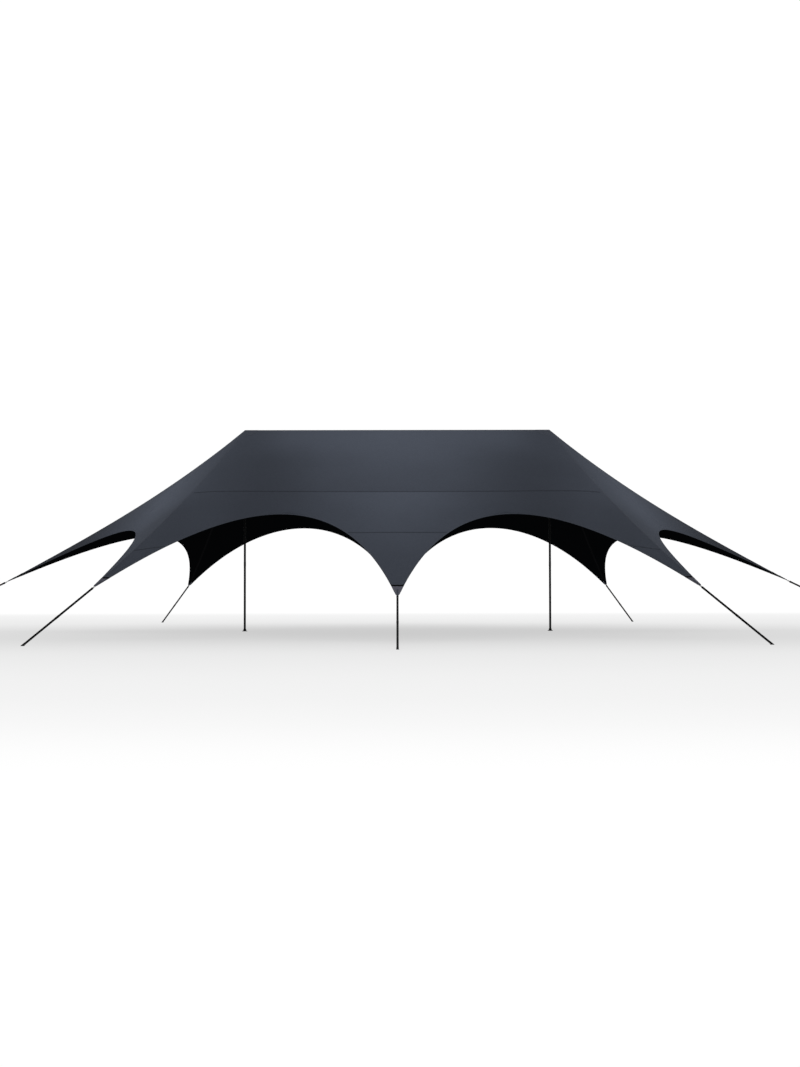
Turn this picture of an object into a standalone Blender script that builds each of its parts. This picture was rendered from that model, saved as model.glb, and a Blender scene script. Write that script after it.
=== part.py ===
"""Double-peak star canopy tent, in metres, +Z up.

X runs along the ridge, Y across it, and the floor is at z = 0. Two centre poles carry a straight
ridge. One stretched canopy falls from it in eight arms: a front and a back one from the middle of
the ridge, and four corner and two end ones from the peaks. Every arm ends in a link on the head of
a side pole that leans outward.
"""
import math

import bmesh
import bpy
import numpy as np
from mathutils import Matrix, Vector
from mathutils.bvhtree import BVHTree

# Canopy: the peaks and the arms' tips, as x, y, z in the quarter where x and y are positive
RIDGE_HEIGHT = 4.50
RIDGE_HALF = 3.41
END_TIP = (8.70, 0.0, 1.13)
CORNER_TIP = (5.51, 6.40, 1.03)
CENTRE_TIP = (0.0, 7.20, 0.87)
TIP_WIDTH = 0.09
CLOTH = 0.012

# Free edges: the point where the two tip tangents meet, and how far each tangent reaches to it
ARCH_TANGENTS_MEET = (1.60, 0.60, 4.20)
ARCH_REACH = (0.57, 0.65)
END_ARCH_TANGENTS_MEET = (4.50, 1.34, 3.02)
END_ARCH_REACH = (0.765, 0.752)

# Tension in the cloth: along the arms, across them, and in the belts sewn along their crests
PULL_ALONG = 1.0
PULL_ACROSS = 0.5
PULL_CENTRE_CREST = 1.5
PULL_CORNER_CREST = 4.0
PULL_END_CREST = 4.0

# Mesh of the canopy: strips across half an arm, and rows along an arm's free edge
STRIPS = 6
ROWS = 10

# Poles and fittings
CENTRE_POLE_RADIUS = 0.024
SIDE_POLE_RADIUS = 0.019
POLE_SIDES = 20
HEAD_RADIUS = 0.045
HEAD_COLLAR = 0.060
DOME_STEPS = 6
CENTRE_PLATE_RADIUS = 0.060
CENTRE_PLATE_THICK = 0.008
CENTRE_BOSS_RADIUS = 0.034
CENTRE_BOSS_HEIGHT = 0.040
FOOT_PLATE_MARGIN = 0.006
FOOT_PLATE_THICK = 0.008
PLATE_SIDES = 32
LINK_LENGTH = 0.075
LINK_WIDTH = 0.030
LINK_THICK = 0.010
END_FOOT = (11.03, 0.0)
CORNER_FOOT = (6.45, 7.95)
CENTRE_FOOT = (0.0, 9.60)

# Touching pieces keep this gap
GAP = 0.0003

# Faces that meet at less than this angle are shaded as one round surface
ROUND_BELOW = math.radians(40)

CLOTH_GREY = (0.062, 0.071, 0.090, 1.0)
POLE_BLACK = (0.012, 0.012, 0.013, 1.0)
FITTING_BLACK = (0.030, 0.030, 0.032, 1.0)
STEEL_GREY = (0.46, 0.47, 0.48, 1.0)


def bezier(points, t):
    """A point of the cubic curve with these four control points."""
    a, b, c, d = (np.array(p, float) for p in points)
    s = 1.0 - t
    return s**3 * a + 3 * s * s * t * b + 3 * s * t * t * c + t**3 * d


def free_edge(start, end, meet, reach):
    """Control points of the edge between two tips, whose tangents point at one place."""
    start, end, meet = (np.array(p, float) for p in (start, end, meet))
    return (start, start + reach[0] * (meet - start), end + reach[1] * (meet - end), end)


def tip_ends(tip, foot):
    """The two ends of an arm's tip line, left and right of the way from the tip to the foot."""
    along = np.array(foot, float) - np.array(tip, float)[:2]
    along /= np.linalg.norm(along)
    aside = np.array((-along[1], along[0], 0.0)) * TIP_WIDTH / 2
    return np.array(tip, float) + aside, np.array(tip, float) - aside


class Net:
    """Nodes and links of the stretched cloth in the quarter where x and y are positive."""

    def __init__(self):
        self.places = []
        self.fixed = set()
        self.on_x_plane = set()
        self.on_y_plane = set()
        self.links = {}

    def node(self, place=None):
        self.places.append(np.zeros(3) if place is None else np.array(place, float))
        if place is not None:
            self.fixed.add(len(self.places) - 1)
        return len(self.places) - 1

    def link(self, a, b, pull):
        self.links[(min(a, b), max(a, b))] = pull

    def relax(self):
        """Put every free node where the pulls of its links cancel out."""
        free = [n for n in range(len(self.places)) if n not in self.fixed]
        column = {n: k for k, n in enumerate(free)}
        for axis, plane in ((0, self.on_x_plane), (1, self.on_y_plane), (2, ())):
            matrix = np.zeros((len(free), len(free)))
            pulls = np.zeros(len(free))
            for (a, b), pull in self.links.items():
                for here, there in ((a, b), (b, a)):
                    if here in self.fixed:
                        continue
                    # A link off a mirror plane has a twin on the plane's other side
                    twins = 1
                    for mirror in (self.on_x_plane, self.on_y_plane):
                        if here in mirror and there not in mirror:
                            twins *= 2
                    row = column[here]
                    matrix[row, row] += twins * pull
                    if there in self.fixed:
                        pulls[row] += twins * pull * self.places[there][axis]
                    else:
                        matrix[row, column[there]] -= twins * pull
            for n in plane:
                if n in column:
                    matrix[column[n]] = 0
                    matrix[column[n], column[n]] = 1
                    pulls[column[n]] = 0
            solved = np.linalg.solve(matrix, pulls)
            for n in free:
                self.places[n][axis] = solved[column[n]]


def quarter_net():
    """The net of one quarter, and the grid of nodes of each of its four half arms."""
    net = Net()
    peak = (RIDGE_HALF, 0.0, RIDGE_HEIGHT)
    corner_left, corner_right = tip_ends(CORNER_TIP, CORNER_FOOT)
    end_left = tip_ends(END_TIP, END_FOOT)[0]
    centre_right = tip_ends(CENTRE_TIP, CENTRE_FOOT)[1]
    arch = free_edge(centre_right, corner_left, ARCH_TANGENTS_MEET, ARCH_REACH)
    end_arch = free_edge(corner_right, end_left, END_ARCH_TANGENTS_MEET, END_ARCH_REACH)

    def edge_nodes(curve):
        return [net.node(bezier(curve, k / (2 * ROWS))) for k in range(2 * ROWS + 1)]

    def line_nodes(start, end):
        return [start] + [net.node() for _ in range(STRIPS - 1)] + [end]

    def tip_line(centre, edge_end):
        step = (net.places[edge_end] - net.places[centre]) / STRIPS
        inner = [net.node(net.places[centre] + step * k) for k in range(1, STRIPS)]
        return [centre] + inner + [edge_end]

    arch_edge = edge_nodes(arch)
    end_edge = edge_nodes(end_arch)
    peak_node = net.node(peak)
    ridge = [net.node((RIDGE_HALF * k / STRIPS, 0.0, RIDGE_HEIGHT)) for k in range(STRIPS)]
    ridge.append(peak_node)
    arch_middle = line_nodes(peak_node, arch_edge[ROWS])
    end_middle = line_nodes(peak_node, end_edge[ROWS])

    # Rows of the half arm from the middle of the ridge: the tip first, the ridge last
    rows = [tip_line(net.node(CENTRE_TIP), arch_edge[0])]
    outer = arch_edge[1:ROWS + 1] + arch_middle[-2:0:-1]
    for end in outer:
        rows.append([net.node() for _ in range(STRIPS)] + [end])
    rows.append(ridge)
    centre = rows
    net.on_x_plane.update(row[0] for row in rows)

    def peak_arm(middle, edge, crest):
        """Rows of a half arm from a peak: the middle of the arch first, the tip last."""
        grid = [middle]
        for k in range(1, ROWS):
            grid.append([crest[k - 1]] + [net.node() for _ in range(STRIPS - 1)] + [edge[k]])
        grid.append(tip_line(crest[-1], edge[ROWS]))
        return grid

    corner_crest = [net.node() for _ in range(ROWS - 1)] + [net.node(CORNER_TIP)]
    end_crest = [net.node() for _ in range(ROWS - 1)] + [net.node(END_TIP)]
    corner_inner = peak_arm(arch_middle, arch_edge[ROWS:], corner_crest)
    corner_outer = peak_arm(end_middle, end_edge[ROWS::-1], corner_crest)
    end = peak_arm(end_middle, end_edge[ROWS:], end_crest)
    net.on_y_plane.update(end_crest)

    for grid in (centre, corner_inner, corner_outer, end):
        for row in grid:
            for a, b in zip(row, row[1:]):
                net.link(a, b, PULL_ACROSS)
        for above, below in zip(grid, grid[1:]):
            for a, b in zip(above, below):
                if a != b:
                    net.link(a, b, PULL_ALONG)
    crests = ((centre, PULL_CENTRE_CREST), (corner_inner, PULL_CORNER_CREST), (end, PULL_END_CREST))
    for grid, pull in crests:
        for above, below in zip(grid, grid[1:]):
            net.link(above[0], below[0], pull)
    net.relax()
    return net, {'centre': centre, 'corner_inner': corner_inner, 'corner_outer': corner_outer,
                 'end': end}


def quarter_surface():
    """Places of the four half arms' nodes, as grids, and one downward direction for each."""
    net, grids = quarter_net()
    across = np.zeros((len(net.places), 3))
    for grid in grids.values():
        for row, below in zip(grid, grid[1:]):
            for k in range(STRIPS):
                a, b, c = (net.places[n] for n in (row[k], row[k + 1], below[k]))
                d = net.places[below[k + 1]]
                face = np.cross(d - a, b - c)
                face *= math.copysign(1.0, face[2])
                for n in (row[k], row[k + 1], below[k], below[k + 1]):
                    across[n] += face
    for n in net.on_x_plane:
        across[n][0] = 0.0
    for n in net.on_y_plane:
        across[n][1] = 0.0
    for n in grids['centre'][-1]:
        across[n][:2] = 0.0
    down = -across / np.linalg.norm(across, axis=1)[:, None]
    places = np.array(net.places)
    return {name: (places[np.array(grid)], down[np.array(grid)]) for name, grid in grids.items()}


def joined(left, right):
    """One grid from two half arms that share their crest, which is the first column of both."""
    return tuple(np.concatenate((a[:, :0:-1], b), axis=1) for a, b in zip(left, right))


def mirrored(grid, x_sign, y_sign):
    return tuple(part * (x_sign, y_sign, 1.0) for part in grid)


def arm_grids():
    """The grids of the eight arms, from the four half arms of one quarter."""
    quarter = quarter_surface()
    centre, corner_inner, corner_outer, end = (
        quarter[name] for name in ('centre', 'corner_inner', 'corner_outer', 'end'))
    arms = {}
    for y_sign, side in ((-1, 'front'), (1, 'back')):
        arms[side + '_centre'] = joined(mirrored(centre, -1, y_sign), mirrored(centre, 1, y_sign))
        for x_sign, hand in ((-1, 'left'), (1, 'right')):
            arms[side + '_' + hand] = joined(mirrored(corner_inner, x_sign, y_sign),
                                             mirrored(corner_outer, x_sign, y_sign))
    for x_sign, hand in ((-1, 'left'), (1, 'right')):
        arms[hand + '_end'] = joined(mirrored(end, x_sign, -1), mirrored(end, x_sign, 1))
    return arms


def drawn_in(grid, name):
    """The grid with the sides that other arms meet drawn in, to leave a gap between the arms."""
    places, down = (part.copy() for part in grid)
    inner = places.copy()
    if name.endswith('_centre'):
        side = slice(ROWS, None)
        for edge, beside in ((0, 1), (-1, -2)):
            inner[side, edge] = gap_step(places[side, edge], places[side, beside])
        inner[-1] = gap_step(inner[-1], inner[-2])
    else:
        inner[0] = gap_step(places[0], places[1])
    return inner, down


def gap_step(points, towards):
    """The points moved a gap's width towards their neighbours."""
    step = towards - points
    return points + step / np.linalg.norm(step, axis=-1, keepdims=True) * GAP


def cloth_solid(name, grid):
    """A closed panel of cloth: the grid on top, the same grid lowered below, and a wall round."""
    places, down = grid
    rows, columns = places.shape[:2]
    bm = bmesh.new()
    keys = {}

    def corner(i, j, layer):
        point = places[i, j] + down[i, j] * (CLOTH * layer)
        key = (round(point[0], 7), round(point[1], 7), round(point[2], 7), layer)
        if key not in keys:
            keys[key] = bm.verts.new(point)
        return keys[key]

    def face(*corners):
        ring = []
        for vert in corners:
            if vert not in ring:
                ring.append(vert)
        if len(ring) > 2:
            bm.faces.new(ring)

    for i in range(rows - 1):
        for j in range(columns - 1):
            for layer in (0, 1):
                face(*(corner(a, b, layer)
                       for a, b in ((i, j), (i, j + 1), (i + 1, j + 1), (i + 1, j))))
    rim = [(0, j) for j in range(columns - 1)] + [(i, columns - 1) for i in range(rows - 1)]
    rim += [(rows - 1, j) for j in range(columns - 1, 0, -1)] + [(i, 0) for i in range(rows - 1, 0, -1)]
    for here, there in zip(rim, rim[1:] + rim[:1]):
        top = (corner(*here, 0), corner(*there, 0))
        if top[0] != top[1]:
            face(top[0], top[1], corner(*there, 1), corner(*here, 1))
    bmesh.ops.recalc_face_normals(bm, faces=bm.faces)
    # Flat faces only: the short diagonal is the same one on every mirrored arm
    bmesh.ops.triangulate(bm, faces=bm.faces, quad_method='SHORT_EDGE')
    return new_piece(name, bm, 'cloth')


MATERIALS = {}


def material(kind):
    """The plain material of one kind of piece."""
    if kind not in MATERIALS:
        colour, rough, metal = {
            'cloth': (CLOTH_GREY, 0.75, 0.0),
            'pole': (POLE_BLACK, 0.40, 0.0),
            'fitting': (FITTING_BLACK, 0.45, 0.0),
            'steel': (STEEL_GREY, 0.35, 1.0),
        }[kind]
        made = bpy.data.materials.new(kind)
        made.use_nodes = True
        shader = made.node_tree.nodes['Principled BSDF']
        shader.inputs['Base Color'].default_value = colour
        shader.inputs['Roughness'].default_value = rough
        shader.inputs['Metallic'].default_value = metal
        MATERIALS[kind] = made
    return MATERIALS[kind]


def new_piece(name, bm, kind, smooth_angle=None):
    mesh = bpy.data.meshes.new(name)
    bm.to_mesh(mesh)
    bm.free()
    if smooth_angle is not None:
        mesh.shade_smooth()
        mesh.set_sharp_from_angle(angle=smooth_angle)
    piece = bpy.data.objects.new(name, mesh)
    piece.data.materials.append(material(kind))
    TENT.objects.link(piece)
    return piece


def turned(name, profile, place, steps):
    """A turned piece from a profile of (radius, height) points that runs down its outer side."""
    mesh = bpy.data.meshes.new(name)
    edges = [(k, k + 1) for k in range(len(profile) - 1)]
    mesh.from_pydata([(radius, 0.0, height) for radius, height in profile], edges, [])
    piece = bpy.data.objects.new(name, mesh)
    piece.location = place
    piece.data.materials.append(material('fitting'))
    TENT.objects.link(piece)
    screw = piece.modifiers.new('turn', 'SCREW')
    screw.steps = screw.render_steps = steps
    screw.use_merge_vertices = True
    screw.merge_threshold = 0.0001
    screw.use_smooth_shade = False
    return piece


def foot_plate(name, foot, along):
    """An oblong plate on the floor, as long as the level end of the pole that leans on it."""
    half_length = SIDE_POLE_RADIUS / abs(along.z) + FOOT_PLATE_MARGIN
    half_width = SIDE_POLE_RADIUS + FOOT_PLATE_MARGIN
    bm = bmesh.new()
    bmesh.ops.create_cone(bm, cap_ends=True, segments=PLATE_SIDES, radius1=1.0, radius2=1.0,
                          depth=FOOT_PLATE_THICK)
    bmesh.ops.scale(bm, verts=bm.verts, vec=(half_length, half_width, 1.0))
    turn = Matrix.Rotation(math.atan2(along.y, along.x), 4, 'Z')
    place = Matrix.Translation((foot[0], foot[1], FOOT_PLATE_THICK / 2))
    bmesh.ops.transform(bm, verts=bm.verts, matrix=place @ turn)
    return new_piece(name, bm, 'fitting', ROUND_BELOW)


def tube_between(name, top, bottom, radius, level_cut=None):
    """A pole from top to bottom, whose lower end is cut level at a height if one is given."""
    top, bottom = Vector(top), Vector(bottom)
    along = bottom - top
    spare = 0.0 if level_cut is None else 3 * radius / abs(along.normalized().z)
    length = along.length + spare
    bm = bmesh.new()
    bmesh.ops.create_cone(bm, cap_ends=True, segments=POLE_SIDES, radius1=radius, radius2=radius,
                          depth=length)
    turn = along.to_track_quat('Z', 'Y').to_matrix().to_4x4()
    place = Matrix.Translation(top + along.normalized() * length / 2)
    bmesh.ops.transform(bm, verts=bm.verts, matrix=place @ turn)
    if level_cut is not None:
        everything = bm.verts[:] + bm.edges[:] + bm.faces[:]
        cut = bmesh.ops.bisect_plane(bm, geom=everything, plane_co=(0, 0, level_cut),
                                     plane_no=(0, 0, -1), clear_outer=True)
        edges = [e for e in cut['geom_cut'] if isinstance(e, bmesh.types.BMEdge)]
        bmesh.ops.contextual_create(bm, geom=edges)
        bmesh.ops.recalc_face_normals(bm, faces=bm.faces)
    return new_piece(name, bm, 'pole', ROUND_BELOW)


def height_under(sheets, x, y, radius):
    """The height of a ball's centre that hangs just under the cloth at x, y."""
    trees = [BVHTree.FromPolygons([v.co for v in sheet.data.vertices],
                                  [p.vertices for p in sheet.data.polygons]) for sheet in sheets]
    low, high = RIDGE_HEIGHT / 2, RIDGE_HEIGHT
    while high - low > GAP / 10:
        middle = (low + high) / 2
        room = min(tree.find_nearest(Vector((x, y, middle)))[3] for tree in trees)
        if room > radius + GAP:
            low = middle
        else:
            high = middle
    return low


def centre_pole(hand, x_sign, canopy):
    """A centre pole with its domed head under the peak and its plate on the floor."""
    x = x_sign * RIDGE_HALF
    centre = height_under(canopy, x, 0.0, HEAD_RADIUS)
    dome = [(HEAD_RADIUS * math.sin(a), HEAD_RADIUS * math.cos(a))
            for a in (k * math.pi / 2 / DOME_STEPS for k in range(DOME_STEPS + 1))]
    turned('pole_head_' + hand, dome + [(HEAD_RADIUS, -HEAD_COLLAR), (0.0, -HEAD_COLLAR)],
           (x, 0.0, centre), PLATE_SIDES)
    boss_top = CENTRE_PLATE_THICK + CENTRE_BOSS_HEIGHT
    plate = [(0.0, boss_top), (CENTRE_BOSS_RADIUS, boss_top),
             (CENTRE_BOSS_RADIUS, CENTRE_PLATE_THICK), (CENTRE_PLATE_RADIUS, CENTRE_PLATE_THICK),
             (CENTRE_PLATE_RADIUS, 0.0), (0.0, 0.0)]
    turned('base_plate_' + hand, plate, (x, 0.0, 0.0), PLATE_SIDES)
    tube_between('centre_pole_' + hand, (x, 0.0, centre - HEAD_COLLAR - GAP),
                 (x, 0.0, boss_top + GAP), CENTRE_POLE_RADIUS)


def link_and_pole(name, tip, down, foot):
    """The link at an arm's tip, the side pole that carries on from it and the plate below."""
    start = Vector(tip) + Vector(down) * CLOTH / 2
    aside = (Vector((foot[0], foot[1], 0)) - Vector((tip[0], tip[1], 0))).cross(Vector((0, 0, 1)))
    aside.normalize()
    end = Vector((foot[0], foot[1], FOOT_PLATE_THICK + GAP))
    along = (end - start).normalized()
    upward = aside.cross(along)
    wall = aside.cross(Vector(down)).normalized()
    wall *= math.copysign(1.0, wall.dot(along))
    # The link's near end clears the cloth's end wall, which is a little off square to the pole
    clear = (GAP + abs(wall.dot(upward)) * LINK_THICK / 2) / wall.dot(along)
    bm = bmesh.new()
    bmesh.ops.create_cube(bm, size=1.0)
    bmesh.ops.scale(bm, verts=bm.verts, vec=(LINK_WIDTH, LINK_LENGTH, LINK_THICK))
    turn = Matrix((aside, along, upward)).transposed().to_4x4()
    centre = start + along * (clear + LINK_LENGTH / 2)
    bmesh.ops.transform(bm, verts=bm.verts, matrix=Matrix.Translation(centre) @ turn)
    bmesh.ops.recalc_face_normals(bm, faces=bm.faces)
    new_piece('tip_link_' + name, bm, 'steel')
    head = start + along * (clear + LINK_LENGTH + GAP)
    tube_between('side_pole_' + name, head, end, SIDE_POLE_RADIUS, end.z)
    foot_plate('foot_plate_' + name, foot, along)


def build():
    arms = arm_grids()
    canopy = [cloth_solid('canopy_' + name, drawn_in(grid, name)) for name, grid in arms.items()]
    for hand, x_sign in (('left', -1), ('right', 1)):
        centre_pole(hand, x_sign, canopy)
    for name, (places, down) in arms.items():
        row = 0 if name.endswith('_centre') else -1
        tip, way_down = places[row, STRIPS], down[row, STRIPS]
        foot = CENTRE_FOOT if name.endswith('_centre') else CORNER_FOOT
        if name.endswith('_end'):
            foot = END_FOOT
        link_and_pole(name, tip, way_down, (math.copysign(foot[0], tip[0]),
                                            math.copysign(foot[1], tip[1])))


for old in list(bpy.data.objects):
    bpy.data.objects.remove(old, do_unlink=True)
TENT = bpy.data.collections.new('canopy_tent')
bpy.context.scene.collection.children.link(TENT)
build()
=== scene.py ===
"""Double-peak star canopy tent, dressed: one stretched sheet with its hems, seams, belts and
patches, the rings at its tips, the poles with their sleeves, and a plain studio round it.

Metres, +Z up. X runs along the ridge and Y across it, with the front at -Y. The floor is at z = 0.
"""

import functools
import math

import bmesh
import bpy
import numpy as np
from bpy.props import FloatProperty, FloatVectorProperty, IntProperty, PointerProperty
from bpy.types import Operator, Panel, PropertyGroup
from mathutils import Matrix, Vector
from mathutils.bvhtree import BVHTree


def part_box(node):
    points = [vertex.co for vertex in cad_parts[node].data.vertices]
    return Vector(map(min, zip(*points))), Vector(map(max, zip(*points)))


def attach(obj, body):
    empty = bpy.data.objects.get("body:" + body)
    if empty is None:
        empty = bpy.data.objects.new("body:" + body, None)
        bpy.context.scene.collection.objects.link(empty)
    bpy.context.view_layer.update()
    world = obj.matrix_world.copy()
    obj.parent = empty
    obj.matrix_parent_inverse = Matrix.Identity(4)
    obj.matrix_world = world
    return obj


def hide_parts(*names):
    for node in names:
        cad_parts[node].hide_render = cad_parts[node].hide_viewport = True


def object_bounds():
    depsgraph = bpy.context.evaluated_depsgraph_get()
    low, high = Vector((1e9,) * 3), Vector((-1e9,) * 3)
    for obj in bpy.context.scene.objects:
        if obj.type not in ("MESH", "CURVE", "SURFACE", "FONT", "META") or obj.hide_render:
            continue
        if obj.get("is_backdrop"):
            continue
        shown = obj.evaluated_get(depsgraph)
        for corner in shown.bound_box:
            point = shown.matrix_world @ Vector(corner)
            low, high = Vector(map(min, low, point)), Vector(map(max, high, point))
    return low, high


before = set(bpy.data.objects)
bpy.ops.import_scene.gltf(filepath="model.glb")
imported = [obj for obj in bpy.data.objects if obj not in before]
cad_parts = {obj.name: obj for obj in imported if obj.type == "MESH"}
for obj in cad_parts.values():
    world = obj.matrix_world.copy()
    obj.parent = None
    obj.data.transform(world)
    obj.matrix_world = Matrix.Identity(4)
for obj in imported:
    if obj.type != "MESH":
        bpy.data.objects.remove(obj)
CAD_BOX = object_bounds()

bl_info = {
    "name": "Double-peak star canopy tent",
    "version": (1, 0, 0),
    "blender": (4, 5, 0),
    "location": "3D View > Sidebar > Tent",
    "description": "Dresses the solids of a star canopy tent with cloth, trim, fittings and a studio",
    "category": "Object",
}

# The canopy's peaks, tips, feet and free edges in the quarter where x and y are positive, as in the
# solids
RIDGE_HEIGHT = 4.50
RIDGE_HALF = 3.41
TIPS = {'centre': (0.0, 7.20, 0.87), 'corner': (5.51, 6.40, 1.03), 'end': (8.70, 0.0, 1.13)}
FEET = {'centre': (0.0, 9.60), 'corner': (6.45, 7.95), 'end': (11.03, 0.0)}
TIP_WIDTH = 0.07
SOLID_CLOTH = 0.012
ARCH_TANGENTS_MEET = (1.60, 0.60, 4.20)
ARCH_REACH = (0.57, 0.65)
END_ARCH_TANGENTS_MEET = (4.50, 1.34, 3.02)
END_ARCH_REACH = (0.765, 0.752)

# Tension of the net that gives the cloth its shape. The crest pulls are for a net of this many rows
COARSE_ROWS = 10
PULL_ALONG = 1.0
PULL_ACROSS = 0.5
PULL_CRESTS = {'centre': 1.5, 'corner_inner': 4.0, 'end': 4.0}

# Rows of the net are evened out where they are narrower than the first width, fully at the second.
# A row narrower than the flat width sags less, in step with its width
EVEN_WIDTHS = {'centre': (2.2, 1.2), 'corner_inner': (2.3, 0.9), 'corner_outer': (9.0, 8.0),
               'end': (9.0, 8.0)}
FLAT_WIDTH = 2.5

# Which kind of arm each one is, and the signs of its x and y
ARMS = {
    'front_centre': ('centre', 1, -1), 'back_centre': ('centre', 1, 1),
    'front_left': ('corner', -1, -1), 'front_right': ('corner', 1, -1),
    'back_left': ('corner', -1, 1), 'back_right': ('corner', 1, 1),
    'left_end': ('end', -1, 1), 'right_end': ('end', 1, 1),
}
HANDS = {'left': -1, 'right': 1}

# Sizes of the solids that the new pieces sit on
CENTRE_POLE_RADIUS = 0.024
SIDE_POLE_RADIUS = 0.019
PLATE_THICK = 0.008
BOSS_RADIUS = 0.034
BOSS_TOP = 0.048
LINK_LENGTH = 0.075
LINK_THICK = 0.010
GAP = 0.0003

# How far in from a tip the cloth's slope there is read
TIP_SLOPE_AT = 0.05

# The fan of shallow folds at a tip: how far behind the tip it starts, where the folds begin and are
# highest, how far they run, how closely they stand, and how wide the fan opens to each side
FAN_BEHIND = 0.20
FOLD_START = 0.25
FOLD_SWELL = 0.45
FOLD_REACH = 3.5
FOLD_RATE = 34.0
FAN_HALF_ANGLE = 0.8

# The cross seams: their distance from the ridge, how far they reach to each side, and how the long
# one bows in towards the ridge. The ridge's tape is wider and the end arms' ribs are narrower than
# the others by these shares, and the ribs run at these shares of the way from crest to edge
SEAM_AT = 3.07
SEAM_BOW = 0.0227
SEAM_HALF = 4.2
OUTER_SEAM_AT = 4.84
OUTER_SEAM_HALF = 1.5
CORNER_SEAM_AT = 5.05
CORNER_SEAM_SPAN = (4.2, 5.03)
SEAM_STEP = 0.12
CORNER_SEAM_STEP = 0.05
RIDGE_TAPE_SHARE = 1.5
RIB_TAPE_SHARE = 0.5
RIBS_AT = (1 / 6, 1 / 3)

# The hem's section: how far it stands off the cloth, the radius of its cord, how far the cord's part
# reaches in, and its thin inner edge. It is this share of its width at the tips, and widens over this far
HEM_RISE = 0.0013
HEM_CORD = 0.0045
HEM_CORD_REACH = 0.008
HEM_TAPER = 0.002
HEM_EDGE = 0.001
HEM_TIP_SHARE = 0.55
HEM_WIDENS_OVER = 0.6
RIM_CORNER = math.radians(25)
SHORTEST_HEM = 1.0

# How far sewn pieces stand off the cloth, or the bindings off the patches, and how deep they are let in
TAPE_RISE = 0.0009
TAPE_DEPTH = 0.0015
TIP_PATCH_RISE = 0.0042
BINDING_RISE = 0.0009
PEAK_PATCH_RISE = 0.0022
BELT_DROP = 0.0022
LET_IN = 0.0005

# A face of a sewn piece is its lining if it is more than this below the cloth's middle, so that the
# side walls stay outer ones
WALL_SLACK = 0.0008

# Peak patches, above and below the cloth, and the rubber pads on the pole heads
PEAK_PATCH_RADIUS = 0.30
INNER_PATCH_RADIUS = 0.24
PEAK_PATCH_SIDES = 8
PAD_RADIUS = 0.062
PAD_SIDES = 16
PAD_CLEARANCE = 0.0004

# The webbing loop at a tip: its size, and the distances from the tip at which it lies on the cloth
LOOP_WIDTH = 0.028
LOOP_HALF_THICK = 0.0012
LOOP_LAID_AT = (0.17, 0.14, 0.11, 0.08, 0.045, 0.02)

# Rings, eyes, studs and nuts at the tips, by their distances from the tip along the pole. A profile is
# made of distances and radii
RING_BAR_AT = 0.007
RING_AT = 0.0245
RING_REACH = (0.021, 0.0175)
RING_SQUARENESS = 1.5
EYE_AT = 0.0455
EYE_REACH = (0.0115, 0.0115)
EYE_WIRE_EXTRA = 0.0004
STUD_PROFILE = ((0.0565, 0.0), (0.0565, 0.0052), (0.0740, 0.0052), (0.0740, 0.0))
NUT_PROFILE = ((0.0620, 0.0), (0.0620, 0.0085), (0.0632, 0.0098), (0.0688, 0.0098), (0.0700, 0.0085),
               (0.0700, 0.0))

# Centre poles: the heights of their joints, their sleeves and buttons, and what holds their feet
POLE_JOINTS = (1.50, 2.95)
TUBE_EDGE = 0.001
GROOVE_DEPTH = 0.0012
SLEEVE_LENGTH = 0.11
SLEEVE_LIP = 0.0012
BUTTON_UP = 0.035
BUTTON_PROFILE = ((-0.0030, 0.0), (-0.0030, 0.0042), (0.0012, 0.0042), (0.0026, 0.0028), (0.0030, 0.0))
NECK_LENGTH = 0.036
NECK_DOWN = 0.020
NECK_WALL = 0.001
NECK_LIP = 0.0015
BOSS_WELD = 0.0030
TUBE_WELD = 0.0022
WELD_RIPPLE = 0.10
WELD_SUNK = 0.0006
SCREW_CIRCLE = 0.047
SCREW_PROFILE = ((0.0070, 0.0), (0.0070, 0.0068), (0.0122, 0.0068), (0.0132, 0.0058), (0.0132, 0.0))

# Side poles: how far short of the plate their tubes end, their sleeves and buttons, their head caps,
# and the welded collars of the foot plates, which start below the plate and are cut off in it
TUBE_SHORT = 0.03
SIDE_JOINT_SHARE = 0.52
SIDE_SLEEVE_LENGTH = 0.10
SIDE_BUTTON_DOWN = 0.03
CAP_NOSE = 0.003
CAP_NOSE_RADIUS = 0.011
CAP_LENGTH = 0.040
COLLAR_BELOW = -0.06
COLLAR_LENGTH = 0.070
COLLAR_WALL = 0.0012
COLLAR_SUNK = 0.0005

# Where a row of stitches runs: in from a hem's inner edge, a patch's inner end, or a tape's or belt's
# side. A stitch is this wide to each side of its row, and this share of its step long
HEM_STITCHES_AT = 0.010
PATCH_STITCHES_AT = 0.036
TAPE_STITCHES_IN = 0.006
BELT_STITCHES_IN = 0.007
STITCH_HALF_WIDTH = 0.0008
STITCH_SHARE = 0.68

# The softboxes: where each stands and aims, and its size. The side one is mirrored to the other side.
# Behind the tent the camera sees a white of this strength
OVERHEAD_BOX = ((0.0, -2.0, 7.5), (0.0, -2.5, 3.0), (2.5, 2.5))
SIDE_BOX = ((14.0, 0.0, 6.5), (5.0, 0.0, 3.0), (9.0, 4.0))
WHITE_BEHIND = 1.02

# The camera's place, and its yaw, pitch and roll in degrees
CAMERA_AT = (0.0, -34.706, 1.074)
CAMERA_TURN = (0.097, 1.822, -0.1)

# Light that the floor gives of itself, at distances from the middle of the pool of painted shadow, in metres.
# The pool's middle is at this Y, and it is this much longer along X
FLOOR_STOPS = ((0.0, 0.59), (2.7, 0.60), (4.5, 0.62), (7.5, 0.71), (9.6, 0.75), (12.4, 0.78), (15.0, 0.81),
               (18.5, 0.83), (21.0, 0.87), (23.0, 0.93), (25.0, 0.95))
FLOOR_REACH = 26.0
FLOOR_MIDDLE = -2.0
FLOOR_STRETCH = 3.0

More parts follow.
